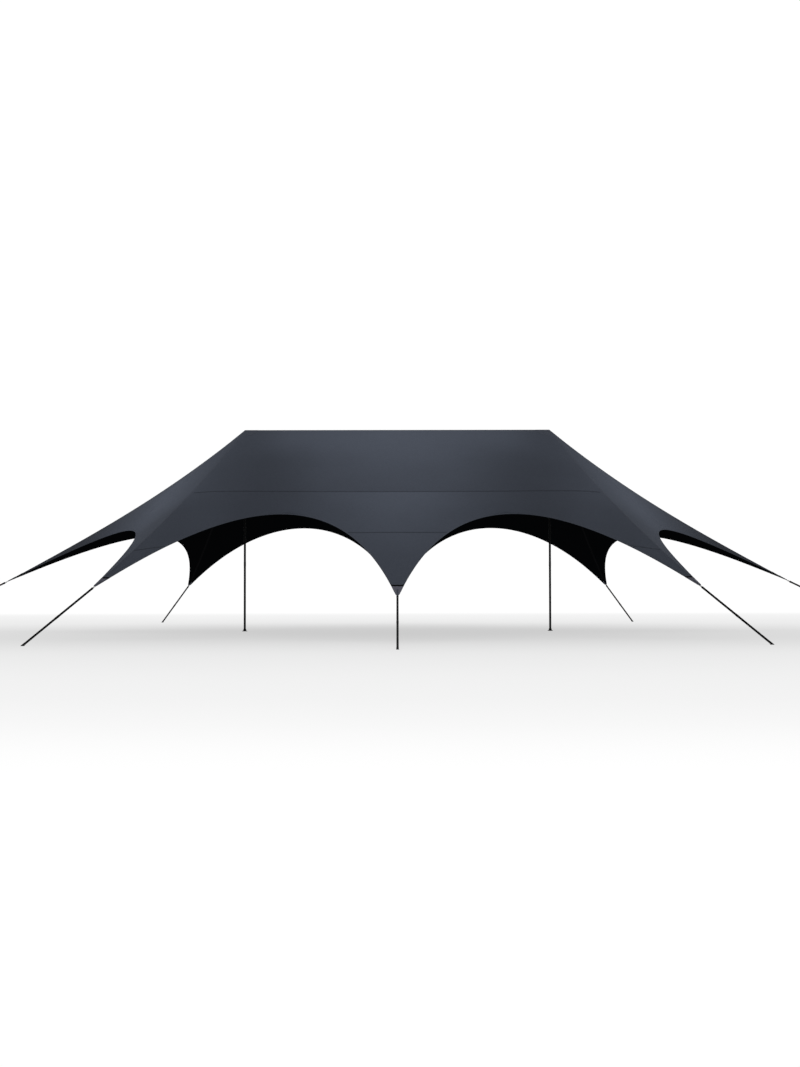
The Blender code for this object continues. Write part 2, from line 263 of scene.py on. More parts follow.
# Points nearer than this are one point, and a face narrower than this is a softened edge
MERGE = 0.00002
SHEET_MERGE = 0.0001
EDGE_FACE = 0.0026

# Faces that meet at less than this angle are shaded as one round surface
ROUND_BELOW = math.radians(40)

# Sides of a wire's round section, and faces across a band
WIRE_SIDES = 10
BAND_COLUMNS = 4


# The shape of the stretched cloth

def bezier(points, t):
    """A point of the cubic curve with these four control points."""
    a, b, c, d = (np.array(p, float) for p in points)
    s = 1.0 - t
    return s**3 * a + 3 * s * s * t * b + 3 * s * t * t * c + t**3 * d


def free_edge(start, end, meet, reach):
    """Control points of the edge between two tips, whose tangents point at one place."""
    start, end, meet = (np.array(p, float) for p in (start, end, meet))
    return (start, start + reach[0] * (meet - start), end + reach[1] * (meet - end), end)


def tip_ends(kind):
    """The two ends of an arm's tip line, left and right of the way from the tip to the foot."""
    tip = np.array(TIPS[kind])
    along = np.array(FEET[kind]) - tip[:2]
    along /= np.linalg.norm(along)
    aside = np.array((-along[1], along[0], 0.0)) * TIP_WIDTH / 2
    return tip + aside, tip - aside


def quarter_edges():
    """The curves of the two free edges in the quarter where x and y are positive."""
    arch = free_edge(tip_ends('centre')[1], tip_ends('corner')[0], ARCH_TANGENTS_MEET, ARCH_REACH)
    end_arch = free_edge(tip_ends('corner')[1], tip_ends('end')[0], END_ARCH_TANGENTS_MEET,
                         END_ARCH_REACH)
    return arch, end_arch


class Net:
    """Nodes and links of the stretched cloth in the quarter where x and y are positive."""

    def __init__(self):
        self.places = []
        self.fixed = set()
        self.mirrors = (set(), set())
        self.links = {}

    def node(self, place=None):
        """A new node, which is fixed if it has a place."""
        self.places.append(np.zeros(3) if place is None else np.array(place, float))
        if place is not None:
            self.fixed.add(len(self.places) - 1)
        return len(self.places) - 1

    def link(self, a, b, pull):
        """Tie two nodes together."""
        self.links[(min(a, b), max(a, b))] = pull

    def relax(self):
        """Put every free node where the pulls of its links cancel out."""
        free = [n for n in range(len(self.places)) if n not in self.fixed]
        column = {n: k for k, n in enumerate(free)}
        for axis in range(3):
            matrix = np.zeros((len(free), len(free)))
            pulls = np.zeros(len(free))
            for (a, b), pull in self.links.items():
                # A link that lies in a mirror plane is shared with the next quarter
                for mirror in self.mirrors:
                    if a in mirror and b in mirror:
                        pull = pull / 2
                for here, there in ((a, b), (b, a)):
                    if here in self.fixed:
                        continue
                    row = column[here]
                    matrix[row, row] += pull
                    if there in self.fixed:
                        pulls[row] += pull * self.places[there][axis]
                    else:
                        matrix[row, column[there]] -= pull
            for n in self.mirrors[axis] if axis < 2 else ():
                if n in column:
                    matrix[column[n]] = 0
                    matrix[column[n], column[n]] = 1
                    pulls[column[n]] = 0
            solved = np.linalg.solve(matrix, pulls)
            for n in free:
                self.places[n][axis] = solved[column[n]]


@functools.lru_cache(maxsize=2)
def quarter_grids(strips, rows):
    """The places of each half arm's nodes in one quarter. The first column is the crest."""
    net = Net()
    arch, end_arch = quarter_edges()
    crest_pull = rows / COARSE_ROWS

    def edge_nodes(curve):
        return [net.node(bezier(curve, k / (2 * rows))) for k in range(2 * rows + 1)]

    def line_nodes(start, end):
        return [start] + [net.node() for _ in range(strips - 1)] + [end]

    def tip_line(centre, edge_end):
        step = (net.places[edge_end] - net.places[centre]) / strips
        return [centre] + [net.node(net.places[centre] + step * k) for k in range(1, strips)] + [edge_end]

    arch_edge = edge_nodes(arch)
    end_edge = edge_nodes(end_arch)
    peak = net.node((RIDGE_HALF, 0.0, RIDGE_HEIGHT))
    ridge = [net.node((RIDGE_HALF * k / strips, 0.0, RIDGE_HEIGHT)) for k in range(strips)] + [peak]
    arch_middle = line_nodes(peak, arch_edge[rows])
    end_middle = line_nodes(peak, end_edge[rows])

    # From the tip up to the ridge
    centre = [tip_line(net.node(TIPS['centre']), arch_edge[0])]
    for end in arch_edge[1:rows + 1] + arch_middle[-2:0:-1]:
        centre.append([net.node() for _ in range(strips)] + [end])
    centre.append(ridge)
    net.mirrors[0].update(row[0] for row in centre)

    def peak_arm(middle, edge, crest):
        """Rows of a half arm from a peak: the middle of the arch first, the tip last."""
        grid = [middle]
        for k in range(1, rows):
            grid.append([crest[k - 1]] + [net.node() for _ in range(strips - 1)] + [edge[k]])
        return grid + [tip_line(crest[-1], edge[rows])]

    corner_crest = [net.node() for _ in range(rows - 1)] + [net.node(TIPS['corner'])]
    end_crest = [net.node() for _ in range(rows - 1)] + [net.node(TIPS['end'])]
    net.mirrors[1].update([peak] + end_crest)
    grids = {
        'centre': centre,
        'corner_inner': peak_arm(arch_middle, arch_edge[rows:], corner_crest),
        'corner_outer': peak_arm(end_middle, end_edge[rows::-1], corner_crest),
        'end': peak_arm(end_middle, end_edge[rows:], end_crest),
    }
    for grid in grids.values():
        for row in grid:
            for a, b in zip(row, row[1:]):
                net.link(a, b, PULL_ACROSS)
        for above, below in zip(grid, grid[1:]):
            for a, b in zip(above, below):
                if a != b:
                    net.link(a, b, PULL_ALONG)
    for name, pull in PULL_CRESTS.items():
        for above, below in zip(grids[name], grids[name][1:]):
            net.link(above[0], below[0], pull * crest_pull)
    net.relax()
    places = np.array(net.places)
    shaped = {name: places[np.array(grid)] for name, grid in grids.items()}
    for name, (wide, narrow) in EVEN_WIDTHS.items():
        shaped[name] = np.array([evened(row, wide, narrow) for row in shaped[name]])
    return shaped


def evened(row, wide, narrow):
    """A row of points from crest to edge, spaced evenly where it is narrow, so that no strip of the
    cloth tucks under the free edge. It keeps its sag, but less of it towards the tip."""
    chord = row[-1] - row[0]
    width = np.linalg.norm(chord)
    share = np.linspace(0.0, 1.0, len(row))[:, None]
    even = row[0] + share * chord
    sag = (row - even).mean(axis=0)
    sag = (sag - chord * (sag @ chord) / width ** 2) * min(1.0, width / FLAT_WIDTH)
    # The mean of 6 s (1 - s) along the row is 1, so a bow of this form has the mean sag
    even = even + 6.0 * share * (1.0 - share) * sag
    part = np.clip((wide - width) / (wide - narrow), 0.0, 1.0)
    return row + part * part * (3.0 - 2.0 * part) * (even - row)


# The signs of x and y that take a quarter's half arm to its four places on the tent
QUARTERS = [(x_sign, y_sign) for x_sign in (-1, 1) for y_sign in (-1, 1)]


class Surface:
    """The canopy's sheet as something to lay other pieces on."""

    def __init__(self):
        sheet = bpy.data.objects.get('canopy')
        if sheet is None:
            raise RuntimeError('Make the canopy before the pieces that lie on it')
        mesh = sheet.data
        self.points = [v.co.copy() for v in mesh.vertices]
        self.tree = BVHTree.FromPolygons(self.points, [p.vertices[:] for p in mesh.polygons])

    def hit(self, x, y):
        """The cloth's point and normal straight below or above x, y, or None where there is none."""
        place, normal, _, _ = self.tree.ray_cast(Vector((x, y, RIDGE_HEIGHT + 1.0)), Vector((0, 0, -1)))
        return None if place is None else (place, normal * math.copysign(1.0, normal.z))

    def near(self, point):
        """The cloth's nearest point, and its normal turned upwards."""
        place, normal, _, _ = self.tree.find_nearest(Vector(point))
        return place, normal * math.copysign(1.0, normal.z)

    def under(self, x, y, z):
        """The point at x, y, or the nearest one where the cloth ends."""
        return self.hit(x, y) or self.near((x, y, z))

    def line(self, bm, thick):
        """Give the faces that are below the cloth's middle, and no walls, the second, inner material, which
        is painted shade.
        """
        for face in bm.faces:
            spot = face.calc_center_median()
            place, normal = self.near(spot)
            face.material_index = int((spot - place).dot(normal) < -thick / 2 - WALL_SLACK)


class Arm:
    """Where one arm's tip, link and side pole are, and which way they run."""

    def __init__(self, name, surface):
        kind, x_sign, y_sign = ARMS[name]
        self.tip = Vector(TIPS[kind])
        self.foot = Vector((*FEET[kind], 0.0))
        for point in (self.tip, self.foot):
            point.x *= x_sign
            point.y *= y_sign
        inward = (self.tip - self.foot)
        inward.z = 0.0
        self.inward = inward.normalized()
        self.normal = surface.near(self.tip + self.inward * TIP_SLOPE_AT)[1]
        start = self.tip - self.normal * SOLID_CLOTH / 2
        self.end = self.foot + Vector((0, 0, PLATE_THICK + GAP))
        self.along = (self.end - start).normalized()
        self.aside = (self.foot - self.tip).cross(Vector((0, 0, 1))).normalized()
        self.upward = self.aside.cross(self.along)
        wall = self.aside.cross(self.normal).normalized()
        wall *= math.copysign(1.0, wall.dot(self.along))
        clear = (GAP + abs(wall.dot(self.upward)) * LINK_THICK / 2) / wall.dot(self.along)
        self.start = start + self.along * clear
        self.head = self.start + self.along * (LINK_LENGTH + GAP)


# Ways to shape a piece

def grid_of(bm, rows, ticks=None):
    """A grid of faces through the given rows of points. Ticks are its UVs, one for each point."""
    made = bmesh.ops.create_grid(bm, x_segments=len(rows[0]) - 1, y_segments=len(rows) - 1, size=1.0)
    verts = made['verts']
    places = [point for row in rows for point in row]
    for vert, place in zip(verts, places):
        vert.co = place
    if ticks is not None:
        table = dict(zip(verts, (tick for row in ticks for tick in row)))
        set_uvs(bm, faces_of(verts), table.get)
    return verts


def faces_of(verts):
    return list({face for vert in verts for face in vert.link_faces})


def set_uvs(bm, faces, tick):
    """Give every corner of the faces the UV that tick says for its point."""
    uv = bm.loops.layers.uv.verify()
    for face in faces:
        for loop in face.loops:
            loop[uv].uv = tick(loop.vert)


def pad(bm, rows, normals, above, below, ticks=None):
    """A closed pad through rows of points of the cloth, from above them to below them."""
    raised = [[p + n * above for p, n in zip(*pair)] for pair in zip(rows, normals)]
    verts = grid_of(bm, raised, ticks)
    thicken(bm, faces_of(verts), above + below)


def thicken(bm, faces, thickness):
    """Turn the faces upwards and give them thickness below."""
    bm.normal_update()
    if sum(face.normal.z for face in faces) < 0:
        bmesh.ops.reverse_faces(bm, faces=faces)
    bmesh.ops.solidify(bm, geom=faces, thickness=thickness)


def cut_off(bm, place, out):
    """Take away what is past a plane, and return the elements along the cut."""
    return bmesh.ops.bisect_plane(bm, geom=bm.verts[:] + bm.edges[:] + bm.faces[:], plane_co=place,
                                  plane_no=out, clear_outer=True)['geom_cut']


def cut_from_sheet(bm, cuts, above, below, tick):
    """A closed pad in the cloth's own shape: the part of the sheet on the inner side of every cut.

    Each cut is a point and the way out. Tick gives the UV of a point.
    """
    part = bmesh.new()
    part.from_mesh(bpy.data.objects['canopy'].data)
    for place, out in cuts:
        cut_off(part, place, out)
    part.normal_update()
    normals = [vert.normal.copy() for vert in part.verts]
    for vert, normal in zip(part.verts, normals):
        vert.co += normal * above
    thicken(part, part.faces[:], above + below)
    set_uvs(part, part.faces, lambda vert: tick(vert.co))
    add_part(bm, part)


def band(bm, surface, path, width, above, below):
    """A band of cloth or webbing laid along a path of x, y, z points, draped over the cloth."""
    rows, normals, ticks = [], [], []
    run = 0.0
    for k, point in enumerate(path):
        before, after = path[max(k - 1, 0)], path[min(k + 1, len(path) - 1)]
        way = Vector((after[0] - before[0], after[1] - before[1], 0.0)).normalized()
        across = Vector((-way.y, way.x, 0.0))
        if k:
            run += (Vector(point) - Vector(path[k - 1])).length
        offsets = [width * (j / BAND_COLUMNS - 0.5) for j in range(BAND_COLUMNS + 1)]
        laid = [surface.under(point[0] + across.x * a, point[1] + across.y * a, point[2]) for a in offsets]
        rows.append([place for place, _ in laid])
        normals.append([normal for _, normal in laid])
        ticks.append([(a, run) for a in offsets])
    pad(bm, rows, normals, above, below, ticks)


def swept(bm, frames, section, loop=False):
    """A closed section carried through frames, each one an origin and the section's two ways."""
    frames = list(frames)
    rows = frames + frames[:1] if loop else frames
    ring = list(section) + list(section[:1])
    girth = [0.0]
    for (a, b), (c, d) in zip(ring, ring[1:]):
        girth.append(girth[-1] + math.hypot(c - a, d - b))
    run = 0.0
    points, ticks = [], []
    for k, (origin, side, up) in enumerate(rows):
        if k:
            run += (origin - rows[k - 1][0]).length
        points.append([origin + side * a + up * b for a, b in ring])
        ticks.append([(g, run) for g in girth])
    verts = grid_of(bm, points, ticks)
    bmesh.ops.remove_doubles(bm, verts=verts, dist=MERGE)
    if not loop:
        rims = {edge for vert in bm.verts for edge in vert.link_edges if edge.is_boundary}
        bmesh.ops.holes_fill(bm, edges=list(rims), sides=len(section))


def round_section(radius):
    return [(radius * math.cos(a), radius * math.sin(a))
            for a in (2 * math.pi * k / WIRE_SIDES for k in range(WIRE_SIDES))]


def strap_section(width, thick):
    """A flat webbing's section with soft edges."""
    w, t, r = width / 2, thick / 2, thick / 3
    return [(-w, -t + r), (-w + r, -t), (w - r, -t), (w, -t + r),
            (w, t - r), (w - r, t), (-w + r, t), (-w, t - r)]


def frames_on(points, side):
    """Frames along points whose section keeps one side way."""
    frames = []
    for k, point in enumerate(points):
        way = points[min(k + 1, len(points) - 1)] - points[max(k - 1, 0)]
        frames.append((point, side, way.cross(side).normalized()))
    return frames


def ring_frames(centre, across, along, reach, steps, shape=1.0):
    """Frames round a ring in the plane of across and along. A shape above 1 squares it off."""
    points = []
    for k in range(steps):
        a = 2 * math.pi * k / steps
        c, s = math.cos(a), math.sin(a)
        points.append(centre + across * reach[0] * math.copysign(abs(c) ** (1 / shape), c)
                      + along * reach[1] * math.copysign(abs(s) ** (1 / shape), s))
    out = across.cross(along).normalized()
    frames = []
    for k, point in enumerate(points):
        way = (points[(k + 1) % steps] - points[k - 1]).normalized()
        frames.append((point, out, way.cross(out).normalized()))
    return frames


def turned(bm, start, along, profile, steps=32):
    """A turned solid on an axis, from a profile of (distance along, radius) points."""
    along = along.normalized()
    side = along.orthogonal().normalized()
    verts = [bm.verts.new(start + along * d + side * r) for d, r in profile]
    edges = [bm.edges.new(pair) for pair in zip(verts, verts[1:])]
    bmesh.ops.spin(bm, geom=verts + edges, cent=start, axis=along, dvec=(0, 0, 0),
                   angle=2 * math.pi, steps=steps, use_merge=True, use_duplicate=False)


def sleeve_profile(middle, length, radius, lip):
    """A collar's profile round a tube, with softened ends."""
    a, b = middle - length / 2, middle + length / 2
    return [(a, 0.0), (a, radius - lip), (a + lip, radius), (b - lip, radius), (b, radius - lip), (b, 0.0)]


def mesh_of(name, bm):
    """The shape as a mesh of its own."""
    mesh = bpy.data.meshes.new(name)
    bm.to_mesh(mesh)
    bm.free()
    return mesh


def placed(name, data):
    """A new object in the scene."""
    made = bpy.data.objects.new(name, data)
    bpy.context.scene.collection.objects.link(made)
    return made


def add_part(bm, part):
    """Put a shape that was made and cut by itself in with the others."""
    mesh = mesh_of('part', part)
    bm.from_mesh(mesh)
    bpy.data.meshes.remove(mesh)


def mark_edges(mesh):
    """Mark the narrow faces, which are the softened edges of a fitting, where wear comes first."""
    marks = mesh.attributes.new('edge', 'FLOAT', 'FACE')
    for face in mesh.polygons:
        corners = [mesh.vertices[n].co for n in face.vertices]
        narrow = min((a - b).length for a, b in zip(corners, corners[1:] + corners[:1]))
        marks.data[face.index].value = float(narrow < EDGE_FACE and len(corners) == 4)


def finished(name, bm, slot, *materials, replaced=()):
    """The shape as a piece of the tent with its material, riding on the tent's one body."""
    bmesh.ops.remove_doubles(bm, verts=bm.verts, dist=MERGE)
    bmesh.ops.recalc_face_normals(bm, faces=bm.faces)
    mesh = mesh_of(name, bm)
    mesh.shade_smooth()
    mesh.set_sharp_from_angle(angle=ROUND_BELOW)
    mark_edges(mesh)
    piece = placed(name, mesh)
    for material in materials:
        mesh.materials.append(material)
    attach(piece, 'root')
    if replaced:
        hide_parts(*replaced)
    return piece


# Materials

def feed(tree, socket, value):
    """Feed an input from another socket, or give it a value."""
    if isinstance(value, bpy.types.NodeSocket):
        tree.links.new(value, socket)
    else:
        socket.default_value = value


def node(tree, kind, feeds=None, **settings):
    """A node with its settings, and a value or a socket fed into each of the named inputs."""
    made = tree.nodes.new(kind)
    for key, value in settings.items():
        setattr(made, key, value)
    for key, value in (feeds or {}).items():
        feed(tree, made.inputs[key], value)
    return made


def maths(tree, operation, a, b=0.0, c=0.0, clamp=False):
    return node(tree, 'ShaderNodeMath', {0: a, 1: b, 2: c}, operation=operation,
                use_clamp=clamp).outputs[0]


def scaled(tree, vector, factor):
    return node(tree, 'ShaderNodeVectorMath', {0: vector, 'Scale': factor}, operation='SCALE').outputs[0]


def noise(tree, place, scale, detail, roughness=0.5):
    return node(tree, 'ShaderNodeTexNoise', {'Vector': place, 'Scale': scale, 'Detail': detail,
                                             'Roughness': roughness}).outputs['Fac']


def new_group(name, inputs, outputs):
    """An empty node group with float or vector inputs, and its two end nodes."""
    tree = bpy.data.node_groups.new(name, 'ShaderNodeTree')
    for label, value in inputs.items():
        kind = 'NodeSocketVector' if value is None else 'NodeSocketFloat'
        socket = tree.interface.new_socket(name=label, in_out='INPUT', socket_type=kind)
        if value is not None:
            socket.default_value = value
    for label in outputs:
        tree.interface.new_socket(name=label, in_out='OUTPUT', socket_type='NodeSocketFloat')
    return tree, tree.nodes.new('NodeGroupInput').outputs, tree.nodes.new('NodeGroupOutput').inputs


@functools.lru_cache(maxsize=None)
def weave_group():
    """A plain weave: threads over and under each other, with slubs."""
    tree, given, out = new_group('Weave', {'Place': None, 'Threads per metre': 600.0}, ('Height', 'Slub'))
    place = scaled(tree, given['Place'], given['Threads per metre'])
    parts = node(tree, 'ShaderNodeSeparateXYZ', {0: place}).outputs
    warp = maths(tree, 'SINE', maths(tree, 'MULTIPLY', parts['X'], math.pi))
    weft = maths(tree, 'SINE', maths(tree, 'MULTIPLY', parts['Y'], math.pi))
    height = maths(tree, 'MULTIPLY_ADD', maths(tree, 'MULTIPLY', warp, weft), 0.5, 0.5)
    stretch = node(tree, 'ShaderNodeVectorMath', {0: given['Place'], 1: (24.0, 60.0, 40.0)},
                   operation='MULTIPLY').outputs[0]
    slub = noise(tree, stretch, 1.0, detail=2.0, roughness=0.6)
    tree.links.new(height, out['Height'])
    tree.links.new(slub, out['Slub'])
    return tree


@functools.lru_cache(maxsize=None)
def mottle_group():
    """Broad soft patches, as of uneven tension, dust and handling."""
    tree, given, out = new_group('Mottle', {'Place': None, 'Patches per metre': 0.9}, ('Patches', 'Specks'))
    broad = noise(tree, given['Place'], given['Patches per metre'], detail=3.0, roughness=0.55)
    fine_scale = maths(tree, 'MULTIPLY', given['Patches per metre'], 24.0)
    fine = noise(tree, given['Place'], fine_scale, detail=4.0, roughness=0.7)
    tree.links.new(broad, out['Patches'])
    tree.links.new(fine, out['Specks'])
    return tree


@functools.lru_cache(maxsize=None)
def painted_shade_group():
    """Painted light and shade: the cloth's colour made lighter or darker by place, darker in hollows and to
    the end tips.
    """
    tree, given, out = new_group('Painted light and shade', {'Place': None}, ('Painted shading',))
    parts = node(tree, 'ShaderNodeSeparateXYZ', {0: given['Place']}).outputs
    x, y = (maths(tree, 'ABSOLUTE', parts[axis]) for axis in 'XY')
    times, plus, minus = (functools.partial(maths, tree, kind) for kind in ('MULTIPLY', 'ADD', 'SUBTRACT'))

    def hump(value, middle, width):
        """1 in the middle, falling softly to 0 on both sides."""
        off = maths(tree, 'DIVIDE', minus(value, middle), width)
        return maths(tree, 'EXPONENT', times(times(off, off), -1.0))

    def ramp(value, start, end, low, high):
        return node(tree, 'ShaderNodeMapRange', {0: value, 1: start, 2: end, 3: low, 4: high},
                    interpolation_type='SMOOTHSTEP').outputs[0]

    # Painted light: lighter past the long cross seam, in the middle of the front and the back
    past_seam = plus(y, times(times(x, x), SEAM_BOW))
    outer = times(ramp(past_seam, SEAM_AT - 0.01, SEAM_AT + 0.01, 0.0, 1.0),
                  ramp(y, SEAM_AT, 6.8, 1.0, 0.35))
    painted_light = times(times(outer, hump(x, 0.0, 1.3)), 0.30)
    # Painted shade: darker in the hollow between the middle of the ridge and each peak
    painted_hollow_shade = times(hump(x, 2.75, 1.15), ramp(y, 0.2, 1.8, 0.0, 1.0))
    painted_shade = minus(plus(1.0, painted_light), times(painted_hollow_shade, 0.28))
    # Painted highlight: lighter where the cloth bends round beside a peak
    painted_bend_highlight = times(hump(x, 4.85, 0.6), hump(y, 1.4, 1.3))
    painted_shade = plus(painted_shade, times(painted_bend_highlight, 0.20))
    # Painted light and shade: lighter along the middle of the ridge, and darker at its ends
    painted_shade = plus(painted_shade, times(hump(y, 0.0, 1.1), ramp(x, 2.3, 3.2, 0.12, -0.10)))
    # Painted shade: darker out to the end tips, and down the corner arms
    painted_shade = times(painted_shade, ramp(x, 5.0, 7.4, 1.0, 0.30))
    painted_shade = minus(painted_shade, times(ramp(x, 3.6, 4.6, 0.0, 0.14), ramp(y, 2.6, 3.6, 0.0, 1.0)))
    tree.links.new(painted_shade, out['Painted shading'])
    return tree


@functools.lru_cache(maxsize=None)
def stitch_group():
    """Rows of stitches. U runs across a band from its middle, or in from the edge of a hem or a patch,
    and V along it."""
    tree, given, out = new_group('Stitches', {'Row at': 0.02, 'Stitch': 0.005}, ('Mask',))
    parts = node(tree, 'ShaderNodeSeparateXYZ', {0: node(tree, 'ShaderNodeUVMap').outputs[0]}).outputs
    off = maths(tree, 'ABSOLUTE', maths(tree, 'SUBTRACT', maths(tree, 'ABSOLUTE', parts['X']),
                                        given['Row at']))
    on_row = maths(tree, 'LESS_THAN', off, STITCH_HALF_WIDTH)
    step = maths(tree, 'FRACT', maths(tree, 'DIVIDE', parts['Y'], given['Stitch']))
    on_stitch = maths(tree, 'LESS_THAN', step, STITCH_SHARE)
    tree.links.new(maths(tree, 'MULTIPLY', on_row, on_stitch), out['Mask'])
    return tree


@functools.lru_cache(maxsize=None)
def wear_group():
    """Where paint or zinc is rubbed: on edges that stick out, and in scattered scuffs."""
    tree, given, out = new_group('Edge wear', {'Place': None, 'Edge': 0.5, 'Scuffs': 0.5},
                                 ('Mask', 'Grain'))
    edge = node(tree, 'ShaderNodeAttribute', attribute_name='edge').outputs['Fac']
    patches = noise(tree, given['Place'], 38.0, detail=5.0, roughness=0.75)
    scuff = node(tree, 'ShaderNodeMapRange', {0: patches, 1: 0.66, 2: 0.74, 3: 0.0, 4: 1.0}).outputs[0]
    worn = maths(tree, 'MULTIPLY', maths(tree, 'MULTIPLY', edge, given['Edge']), patches)
    rubbed = maths(tree, 'MULTIPLY', scuff, given['Scuffs'])
    grain = noise(tree, given['Place'], 900.0, detail=2.0)
    tree.links.new(maths(tree, 'MAXIMUM', worn, rubbed, clamp=True), out['Mask'])
    tree.links.new(grain, out['Grain'])
    return tree


def start_material(name, **sockets):
    """A new material, its tree and its shader, with constants on the shader's own sockets."""
    made = bpy.data.materials.new(name)
    made.use_nodes = True
    tree = made.node_tree
    shader = tree.nodes['Principled BSDF']
    for key, value in sockets.items():
        shader.inputs[key.replace('_', ' ')].default_value = value
    return made, tree, shader


def grouped(tree, group, **feeds):
    made = node(tree, 'ShaderNodeGroup', node_tree=group)
    for key, value in feeds.items():
        feed(tree, made.inputs[key.replace('_', ' ')], value)
    return made.outputs


def shade(tree, colour, *factors):
    """A colour times 1 plus each factor's share of how far its socket is from the middle."""
    total = 1.0
    for socket, share in factors:
        off = maths(tree, 'SUBTRACT', socket, 0.5)
        total = maths(tree, 'ADD', total, maths(tree, 'MULTIPLY', off, share))
    return scaled(tree, tuple(colour[:3]), total)


def blend(tree, mask, first, second):
    """The first colour where the mask is 0 and the second where it is 1."""
    mixed = node(tree, 'ShaderNodeMix', data_type='RGBA')
    for index, value in ((0, mask), (6, first), (7, second)):
        feed(tree, mixed.inputs[index], value)
    return mixed.outputs[2]


def dress(tree, shader, colour, rough, height, depth):
    """Feed a shader its colour and its roughness, and a bump of this height and depth."""
    bump = node(tree, 'ShaderNodeBump', {'Height': height, 'Distance': depth, 'Strength': 1.0})
    for key, socket in (('Base Color', colour), ('Roughness', rough), ('Normal', bump.outputs['Normal'])):
        tree.links.new(socket, shader.inputs[key])


def object_place(tree):
    return node(tree, 'ShaderNodeTexCoord').outputs['Object']


def cloth_material(name, colour, threads, weave_depth, row_at=None, thread_colour=None, specular=0.06,
                   with_painted_shading=False):
    """Woven polyester: fine threads, slubs, soft patches, stitches where it is sewn, and painted light and
    shade where asked.
    """
    made, tree, shader = start_material(name, Roughness=0.82, Specular_IOR_Level=specular)
    place = object_place(tree)
    weave = grouped(tree, weave_group(), Place=place, Threads_per_metre=threads)
    mottle = grouped(tree, mottle_group(), Place=place)
    tint = shade(tree, colour, (weave['Slub'], 0.30), (weave['Height'], 0.10),
                 (mottle['Patches'], 0.16), (mottle['Specks'], 0.14))
    # Painted light and shade, multiplied into the colour by place
    if with_painted_shading:
        painted_shade = grouped(tree, painted_shade_group(), Place=place)['Painted shading']
        tint = scaled(tree, tint, painted_shade)
    height = maths(tree, 'MULTIPLY_ADD', weave['Slub'], 0.6, weave['Height'])
    if row_at is not None:
        mask = grouped(tree, stitch_group(), Row_at=row_at)['Mask']
        tint = blend(tree, mask, tint, thread_colour)
        height = maths(tree, 'MULTIPLY_ADD', mask, 3.0, height)
    rough = maths(tree, 'MULTIPLY_ADD', mottle['Specks'], 0.16, 0.74)
    dress(tree, shader, tint, rough, height, weave_depth)
    return made


def painted_material(name, colour, bare, edge, scuffs, rough):
    """Powder coat: a fine orange peel, dull scuffs, and bare metal on rubbed edges."""
    made, tree, shader = start_material(name, Specular_IOR_Level=0.06)
    place = object_place(tree)
    wear = grouped(tree, wear_group(), Place=place, Edge=edge, Scuffs=scuffs)
    mottle = grouped(tree, mottle_group(), Place=place, Patches_per_metre=3.0)
    coat = shade(tree, colour, (mottle['Patches'], 0.5), (wear['Grain'], 0.3))
    coat = blend(tree, wear['Mask'], coat, bare)
    uneven = maths(tree, 'MULTIPLY_ADD', mottle['Specks'], 0.24, rough - 0.12)
    uneven = maths(tree, 'MULTIPLY_ADD', wear['Mask'], 0.12, uneven)
    dress(tree, shader, coat, uneven, maths(tree, 'SUBTRACT', wear['Grain'], wear['Mask']), 0.0002)
    return made


def zinc_material(name, colour):
    """Galvanised steel: dull crystals of zinc, and brighter rubbed edges."""
    made, tree, shader = start_material(name, Metallic=1.0)
    place = object_place(tree)
    crystals = node(tree, 'ShaderNodeTexVoronoi', {'Vector': place, 'Scale': 190.0}, feature='F1')
    grey = node(tree, 'ShaderNodeSeparateColor', {0: crystals.outputs['Color']}).outputs[0]
    wear = grouped(tree, wear_group(), Place=place, Edge=0.9, Scuffs=0.4)
    tint = shade(tree, colour, (grey, 0.35), (wear['Grain'], 0.12), (wear['Mask'], 0.25))
    dress(tree, shader, tint, maths(tree, 'MULTIPLY_ADD', grey, 0.22, 0.32), wear['Grain'], 0.0002)
    return made


def rubber_material(name, colour):
    """Matt rubber with a dusty bloom and a moulded grain."""
    made, tree, shader = start_material(name, Specular_IOR_Level=0.3)
    place = object_place(tree)
    mottle = grouped(tree, mottle_group(), Place=place, Patches_per_metre=14.0)
    tint = shade(tree, colour, (mottle['Patches'], 0.6), (mottle['Specks'], 0.4))
    rough = maths(tree, 'MULTIPLY_ADD', mottle['Patches'], 0.2, 0.75)
    dress(tree, shader, tint, rough, mottle['Specks'], 0.0003)
    return made


